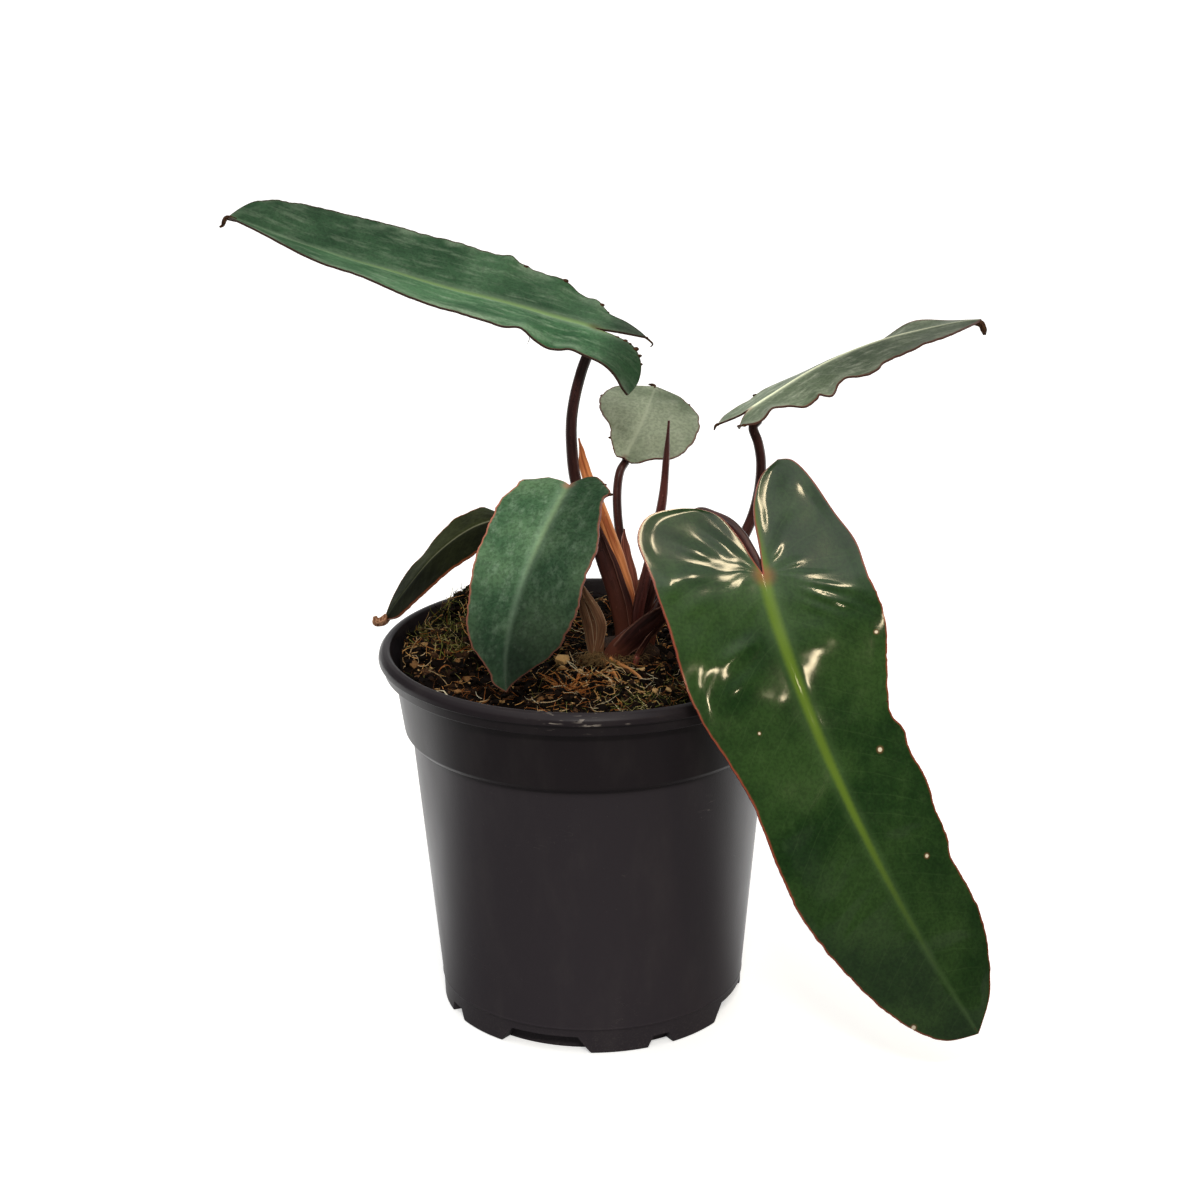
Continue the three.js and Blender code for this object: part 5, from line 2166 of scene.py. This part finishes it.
@dataclass
class LeafStalk:
    """A leaf stalk, from its base in the crown to its seat under the blade."""

    name: str
    path: tuple[Point, ...]
    radii: tuple[float, ...]
    depths: tuple[float, ...]
    finish: StalkFinish
    slot: str = "stalk_skin"
    behind: bool = False
    clearance: float = 0.3
    straight: float = 3.5
    strips: tuple[Trough, ...] = ()

    def full_path(self) -> list[Point]:
        """Adds the seat to the path: from below, or from behind where the stalk arches over.

        Returns:
            The points of the middle line, with the top.
        """
        leaf = LEAVES[self.name]
        _, place, ahead, _, up = (row[0] for row in leaf.frame_at(np.array([0.0])))
        top = self.radii[-1]
        clear = leaf.thickness / 2 + self.clearance
        if self.behind:
            return [*self.path, tuple(place - up * (clear + 1.05 * top) + ahead * top)]
        seat = place - up * (clear + 0.15) + ahead * (top * 0.8)
        return [*self.path, tuple(seat - up * self.straight), tuple(seat)]

    def build(self) -> None:
        """Builds the stalk with its clasping strips."""
        bm = rod_mesh(self.full_path(), self.radii, self.depths, sides=24, steps=120, flutes=0.05)
        for strip in self.strips:
            append(bm, strip.mesh(), 1)
        name = f"stalk_{self.name}"
        skins = [self.finish.material(name), self.finish.material(name, edged=True)]
        finished(f"petiole_{self.name}", bm, skins, self.slot, [name], sharp=50)


PURPLE_STALK = StalkFinish(
    dark=(0.024, 0.007, 0.006), light=(0.080, 0.026, 0.022), base=(0.16, 0.050, 0.030),
)
BROWN_STALK = StalkFinish(
    dark=(0.14, 0.066, 0.036), light=(0.34, 0.185, 0.105), base=(0.24, 0.11, 0.055),
    edge=(0.62, 0.42, 0.28),
)

STALKS = (
    LeafStalk(
        name="upper_left",
        path=(
            (13.4, 7.4, 129.5), (13.4, 7.8, 136), (11, 8, 148), (5.8, 8.7, 164.7), (0.9, 9.8, 177.5),
            (-3.9, 11, 191.3),
            (-5.3, 12, 204.6), (-5.2, 12.5, 213.6), (-3.9, 13, 222), (-1.5, 13.2, 231), (1.2, 13.1, 239),
        ),
        radii=(4, 3.5, 2.1, 1.95, 1.9),
        depths=(2.4, 2.2, 1.9, 1.9, 1.9),
        finish=PURPLE_STALK,
        strips=(
            Trough(
                path=(
                    (16.0, 4.4, 139.5), (14.4, 4.6, 148.6), (12.0, 5.2, 156.4), (9.9, 5.8, 163.0),
                    (7.2, 6.5, 169.0), (5.4, 7.0, 172.6),
                ),
                widths=(1.5, 1.3, 1.1, 0.8, 0.25), looks=(0.35, -1, 0.1), hollow=0.12,
            ),
        ),
    ),
    LeafStalk(
        name="upper_right",
        path=(
            (20.8, 8.2, 129.5), (24, 9.3, 142), (31.5, 12, 151), (41, 15, 156), (51.1, 18, 161),
            (58, 21, 171.5),
            (61.3, 22.5, 182.5), (62.3, 23.2, 194), (61.2, 23.5, 201.5), (59.4, 23.8, 207.5),
        ),
        radii=(2.6, 2.6, 2, 1.8, 1.7),
        depths=(2, 2, 1.8, 1.8, 1.7),
        finish=PURPLE_STALK,
        strips=(
            Trough(
                path=(
                    (18.4, 7.0, 134), (18.8, 8.2, 140.8), (20.4, 9.2, 146.9), (22.2, 9.8, 152.1),
                    (24.1, 10.8, 157.7), (25.2, 12, 162.7),
                ),
                widths=(2.6, 2.9, 3.0, 2.2, 0.4), looks=(0.0, -1, 0.1), hollow=0.08,
            ),
            Trough(
                path=((16.4, 6.2, 143.0), (18.3, 6.6, 152.1), (20.2, 7.0, 159.0), (21.3, 7.2, 163.5)),
                widths=(0.9, 1.2, 0.9, 0.2), looks=(0.2, -1, 0.1), hollow=0.1,
            ),
        ),
    ),
    LeafStalk(
        name="front_right",
        path=(
            (8, -3, 130), (10.5, -3.8, 134), (18, -5, 141), (25.8, -7.5, 148.5), (30.5, -12, 164),
            (34, -20, 183),
            (38.5, -27.5, 191), (43.1, -31.2, 190.8), (48.2, -33, 188.8), (52, -35.6, 185.5),
            (55.1, -39.2, 181.2),
            (57.5, -42.8, 176.9),
        ),
        radii=(3.4, 3.4, 2.2, 1.9, 1.8),
        depths=(2, 2, 1.9, 1.8, 1.8),
        finish=PURPLE_STALK,
        behind=True,
        strips=(
            Trough(
                path=(
                    (8.6, -3.6, 130.2), (11.4, -5.4, 133.6), (14.8, -6.6, 137.4), (20.4, -7.9, 143.0),
                    (25.2, -9.4, 147.8), (28.6, -11.4, 152.6),
                ),
                widths=(2.2, 3.2, 3.9, 3.9, 3.0, 1.4), looks=(0.25, -1, 0.35), hollow=0.07,
            ),
            Trough(
                path=((17.6, -7.4, 132.8), (20.9, -9.0, 138.8), (23.1, -10.0, 143.2)),
                widths=(1.1, 0.9, 0.1), looks=(0.3, -1, 0.3), hollow=0.1,
            ),
        ),
    ),
    LeafStalk(
        name="front_left",
        path=(
            (2.6, 0.6, 129.5), (3.2, -0.5, 136), (3, -1.2, 142), (0.2, -2, 148.5), (-3, -3, 154.5),
            (-6, -4.5, 170),
            (-6.3, -6.5, 184), (-6, -9, 191.5),
        ),
        radii=(2.5, 2.4, 2, 1.7),
        depths=(1.8, 1.7, 1.7, 1.6),
        finish=BROWN_STALK,
        slot="stalk_brown",
        strips=(
            Trough(
                path=(
                    (2.4, -1.6, 130.7), (4.2, -2.8, 137.2), (4.6, -4.0, 143.0), (2.6, -4.6, 148.8),
                    (-0.1, -5.6, 153.8), (-1.8, -6.4, 157.6),
                ),
                widths=(0.9, 1.5, 1.9, 1.8, 1.5, 0.9), looks=(0.25, -1, 0.1), hollow=0.12,
            ),
            Trough(
                path=(
                    (0.9, -1.8, 130.4), (0.3, -3.2, 137.0), (-0.7, -4.2, 143.8), (-1.9, -4.8, 148.8),
                    (-2.6, -5.4, 153.2),
                ),
                widths=(0.8, 1.4, 1.6, 1.5, 1.0), looks=(-0.2, -1, 0.1), hollow=0.12,
            ),
        ),
    ),
    LeafStalk(
        name="far_left",
        path=((4, 9, 129.5), (0, 9.5, 142), (-8, 9.5, 158), (-16, 8.5, 170)),
        radii=(2.2, 2, 1.6, 1.4),
        depths=(2, 1.8, 1.6, 1.4),
        finish=PURPLE_STALK,
    ),
    LeafStalk(
        name="upper_middle",
        path=(
            (17, 14.3, 129.5), (16, 15.7, 144.7), (14.4, 17, 154), (12, 18.8, 166.2), (10.8, 21, 176.5),
            (10.8, 23.4, 185), (11.9, 25.6, 191),
        ),
        radii=(2, 1.8, 1.6, 1.5),
        depths=(1.9, 1.8, 1.6, 1.5),
        finish=PURPLE_STALK,
    ),
)


@dataclass
class NewLeafSpear:
    """The rolled new leaf, pointed, with fine lengthwise grooves."""

    path: tuple[Point, ...] = (
        (16.6, 2.6, 130.5), (17.7, 3.6, 144.5), (19.5, 4.5, 153), (22.1, 5, 164),
        (25.3, 5, 179), (26.8, 5, 188),
        (27.9, 5, 201), (28.9, 5, 215),
    )
    radii: tuple[float, ...] = (2.0, 2.0, 1.95, 1.7, 1.25, 0.4)
    depths: tuple[float, ...] = (1.9, 1.9, 1.85, 1.6, 1.2, 0.4)
    finish: StalkFinish = StalkFinish(
        dark=(0.050, 0.014, 0.012), light=(0.16, 0.050, 0.042), base=(0.09, 0.018, 0.012), rough=0.3,
    )

    def build(self) -> None:
        """Builds the spear."""
        bm = rod_mesh(self.path, self.radii, self.depths, sides=24, steps=120, flutes=0.06)
        skin = [self.finish.material("spear")]
        finished("rolled_new_leaf", bm, skin, "stalk_skin", ["new_leaf_spear"], sharp=50)


@dataclass
class DrySheath:
    """A dry papery sheath that stands behind a stalk."""

    name: str
    strip: Trough
    finish: StalkFinish

    def build(self) -> None:
        """Builds the sheath."""
        skin = self.finish.material(self.name, edged=True)
        finished(f"papery_{self.name}", self.strip.mesh(), [skin], "dry_sheath", [self.name], sharp=50)


SHEATHS = (
    DrySheath(
        name="sheath_upper_left",
        strip=Trough(
            path=(
                (15.2, 10.4, 134), (15.6, 10.5, 147.7), (14.0, 10.8, 153.0), (12.0, 11.2, 158.8),
                (10.0, 11.6, 164.6),
                (8.0, 12.0, 169.9), (5.4, 12.8, 177.3), (1.1, 14.2, 189.6), (-1.3, 15.2, 198.2),
                (-2.7, 15.8, 206.1),
            ),
            widths=(1.0, 1.2, 2.0, 2.3, 2.3, 2.2, 1.7, 0.3), thickness=0.7,
        ),
        finish=StalkFinish(
            dark=(0.46, 0.12, 0.040), light=(0.90, 0.34, 0.12), base=(0.30, 0.08, 0.040), rough=0.55,
            edge=(0.95, 0.50, 0.28),
        ),
    ),
    DrySheath(
        name="sheath_upper_middle",
        strip=Trough(
            path=(
                (16.8, 11.8, 134), (16.4, 12.4, 148.7), (15.6, 12.8, 155.1), (14.4, 13.4, 160.3),
                (13.4, 14.2, 165.9), (13.1, 15.4, 172.4),
            ),
            widths=(1.2, 1.3, 2.0, 2.2, 1.7, 0.3), thickness=0.7,
        ),
        finish=StalkFinish(
            dark=(0.085, 0.022, 0.014), light=(0.27, 0.085, 0.055), base=(0.16, 0.035, 0.022), rough=0.5,
            edge=(0.50, 0.22, 0.15),
        ),
    ),
)


@dataclass
class StemCrown:
    """The crown, dressed over its CAD node, with dry fibres, a red bud and short aerial roots."""

    bark: DryFinish = DryFinish(dark=(0.008, 0.004, 0.002), light=(0.06, 0.028, 0.014))
    skins: tuple[tuple[str, StalkFinish], ...] = (
        ("crown_hair", StalkFinish((0.07, 0.035, 0.012), (0.42, 0.27, 0.11), (0.16, 0.08, 0.03), rough=0.8)),
        ("aerial_root", StalkFinish((0.50, 0.17, 0.04), (0.95, 0.55, 0.24), (0.70, 0.28, 0.09), rough=0.6)),
        ("bud", StalkFinish((0.25, 0.05, 0.04), (0.50, 0.14, 0.11), (0.32, 0.06, 0.05), rough=0.4)),
    )
    hairs: int = 520
    spread: tuple[Patch, ...] = (
        Patch(2, -2.5, 2.5, 1.6, 0.6), Patch(9, -5.5, 3.0, 1.5, 0.3), Patch(17, -1.5, 2.5, 2.5, 0.1),
    )
    hair_foot: float = 128.0
    hair_radii: Point = (0.13, 0.10, 0.05)
    bud: tuple[Point, ...] = ((16.4, -4.4, 128.2), (17.0, -4.8, 130.6), (17.6, -4.6, 133.0))
    bud_radii: Point = (1.3, 1.2, 0.3)
    roots: tuple[tuple[Point, ...], ...] = (
        ((4.5, -4.5, 130.5), (6.2, -6.6, 129.6), (7.6, -9.5, 129.0), (9.0, -14.5, 128.4), (10.1, -19, 128.2)),
        (
            (7.5, -5.0, 130.6), (10.5, -8.5, 129.8), (14.5, -13, 129.2), (17.8, -19, 128.6),
            (20.3, -24.5, 127.6),
        ),
    )
    root_radii: tuple[float, ...] = (0.75, 0.7, 0.6, 0.35)
    root_depths: tuple[float, ...] = (0.45, 0.45, 0.4, 0.25)
    seed: int = 12

    def hair(self, rng: random.Random) -> Bm:
        """Makes one short bent hair.

        Args:
            rng: The source of chance.

        Returns:
            The hair as a new bmesh.
        """
        x, y = spot_in(rng, self.spread)
        z = self.hair_foot + rng.uniform(0, 3.5)
        way, rise = rng.uniform(-2.6, -0.5), rng.uniform(-0.5, 2.5)
        reach = rng.uniform(1.5, 5.0)
        right, back = math.cos(way) * reach, math.sin(way) * reach
        bend, end = (x + right * 0.5, y + back * 0.5, z + rise * 0.7), (x + right, y + back, z + rise * 0.3)
        return rod_mesh(((x, y, z), bend, end), self.hair_radii, sides=4, steps=4)

    def build(self) -> None:
        """Gives the CAD node its fibrous bark and adds the hairs, the roots and the bud."""
        material = self.bark.material("crown_bark")
        for place in bpy.data.objects["stem_crown"].material_slots:
            place.material = material
        rng = random.Random(self.seed)
        bm = bmesh.new()
        bm.verts.layers.float_vector.new("rod")
        for _ in range(self.hairs):
            append(bm, self.hair(rng), 0)
        for path in self.roots:
            append(bm, rod_mesh(path, self.root_radii, self.root_depths, sides=8, steps=24, flutes=0.05), 1)
        append(bm, rod_mesh(self.bud, self.bud_radii, sides=12, steps=14), 2)
        skins = [finish.material(name) for name, finish in self.skins]
        finished("crown_hairs", bm, skins, "crown_fibre", sharp=60)


# The studio


@dataclass(frozen=True)
class Glow:
    """White light from a way, between two cosines of the angle to it."""

    way: Point
    low: float
    high: float
    strength: float


@dataclass(frozen=True)
class SoftBox:
    """A rectangular lamp, with its place, aim and size in metres and its power in watts."""

    name: str
    place: Point
    aim: Point
    size: Flat
    power: float
    colour: Colour
    turn: float = 0.0

    def build(self) -> None:
        """Hangs the lamp."""
        data = bpy.data.lights.new(self.name, "AREA")
        data.shape, data.size, data.size_y = "RECTANGLE", *self.size
        data.energy, data.color = self.power, self.colour
        lamp = linked(self.name, data)
        lamp.location = self.place
        way = (Vector(self.aim) - Vector(self.place)).to_track_quat("-Z", "Y")
        lamp.rotation_euler = (way.to_matrix() @ Matrix.Rotation(self.turn, 3, "Z")).to_euler()


GLOSSY_LEAF = (0.04, -0.06, 0.175)  # the middle of the glossy leaf, in metres
WINDOW_LIGHT = (1.0, 0.82, 0.54)


@dataclass
class Studio:
    """The floor, the lights and the camera."""

    camera_place: Point = (4.19, -942.05, 467.1)
    pitch: float = 0.3239
    roll: float = -0.0102
    lens: float = 84.0
    sensor: float = 36.0
    clip: Flat = (0.05, 50.0)
    floor_size: float = 12.0
    sky: float = 0.09
    glows: tuple[Glow, ...] = (
        Glow(way=(0.0, 0.0, 1.0), low=0.40, high=0.98, strength=1.15),
        Glow(way=(0.0, 1.0, 0.0), low=0.82, high=0.96, strength=0.7),
        Glow(way=(0.42, -0.20, 0.885), low=0.975, high=1.0, strength=0.7),
    )
    lamps: tuple[SoftBox, ...] = (
        SoftBox("window_high", (0.877, -0.265, 1.395), GLOSSY_LEAF, (0.28, 0.075), 3.0, WINDOW_LIGHT, 0.54),
        SoftBox("window_low", (0.941, -1.024, 0.654), GLOSSY_LEAF, (0.085, 0.065), 1.1, WINDOW_LIGHT),
        SoftBox("front_light", (0.05, -1.25, 1.15), (0.0, 0.0, 0.13), (0.30, 0.16), 8.6, (1.0, 0.97, 0.92)),
    )

    def camera(self) -> None:
        """Sets the camera at the photograph's place and angle."""
        ahead = Vector((0, math.cos(self.pitch), -math.sin(self.pitch)))
        right = Vector((1, 0, 0))
        up = right.cross(ahead)
        image_right = right * math.cos(self.roll) + up * math.sin(self.roll)
        image_up = up * math.cos(self.roll) - right * math.sin(self.roll)
        data = bpy.data.cameras.new("camera")
        data.lens, data.sensor_width = self.lens, self.sensor
        data.clip_start, data.clip_end = self.clip
        camera = linked("camera", data)
        turn = Matrix((image_right, image_up, -ahead)).transposed().to_4x4()
        camera.matrix_world = Matrix.Translation(Vector(self.camera_place) * MM) @ turn
        bpy.context.scene.camera = camera

    def floor(self) -> None:
        """Lays the pale paper that the pot stands on."""
        bm = bmesh.new()
        bmesh.ops.create_grid(bm, x_segments=1, y_segments=1, size=self.floor_size / 2)
        floor = mesh_object("floor", bm)
        bm.free()
        floor.data.materials.append(FloorFinish().material())
        floor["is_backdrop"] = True

    def world(self) -> None:
        """Fills the room with white light from some sides; the eye sees plain white."""
        world = bpy.data.worlds.new("room")
        bpy.context.scene.world = world
        world.use_nodes = True
        sheet = NodeSheet(world.node_tree)
        way = sheet.made("ShaderNodeTexCoord", {}, "Generated")
        strength: Socket | float = self.sky
        for glow in self.glows:
            inputs = {0: way, 1: Vector(glow.way).normalized()}
            toward = sheet.made("ShaderNodeVectorMath", inputs, "Value", operation="DOT_PRODUCT")
            strength = sheet.line(sheet.smooth(toward, glow.low, glow.high), glow.strength, strength)
        seen = sheet.made("ShaderNodeLightPath", {}, "Is Camera Ray")
        background = world.node_tree.nodes["Background"]
        sheet.feed(background.inputs["Color"], (1.0, 1.0, 1.0))
        sheet.feed(background.inputs["Strength"], sheet.math("MAXIMUM", seen, strength))

    def build(self) -> None:
        """Builds the studio."""
        self.camera()
        self.floor()
        self.world()
        for lamp in self.lamps:
            lamp.build()
        bpy.context.scene.view_settings.view_transform = "Standard"


def main() -> None:
    """Builds the pot, the mix, the plant and the studio."""
    logging.basicConfig(level=logging.INFO, format="%(name)s %(message)s")
    pieces = (
        NurseryPot(), PottingMix(), StemCrown(),
        *LEAVES.values(), *STALKS, NewLeafSpear(), *SHEATHS, Studio(),
    )
    for piece in pieces:
        piece.build()
    boxes = {"cad": CAD_BOX, "visual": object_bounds()}
    {key: [list(corner) for corner in box] for key, box in boxes.items()}


if __name__ == "__main__":
    main()
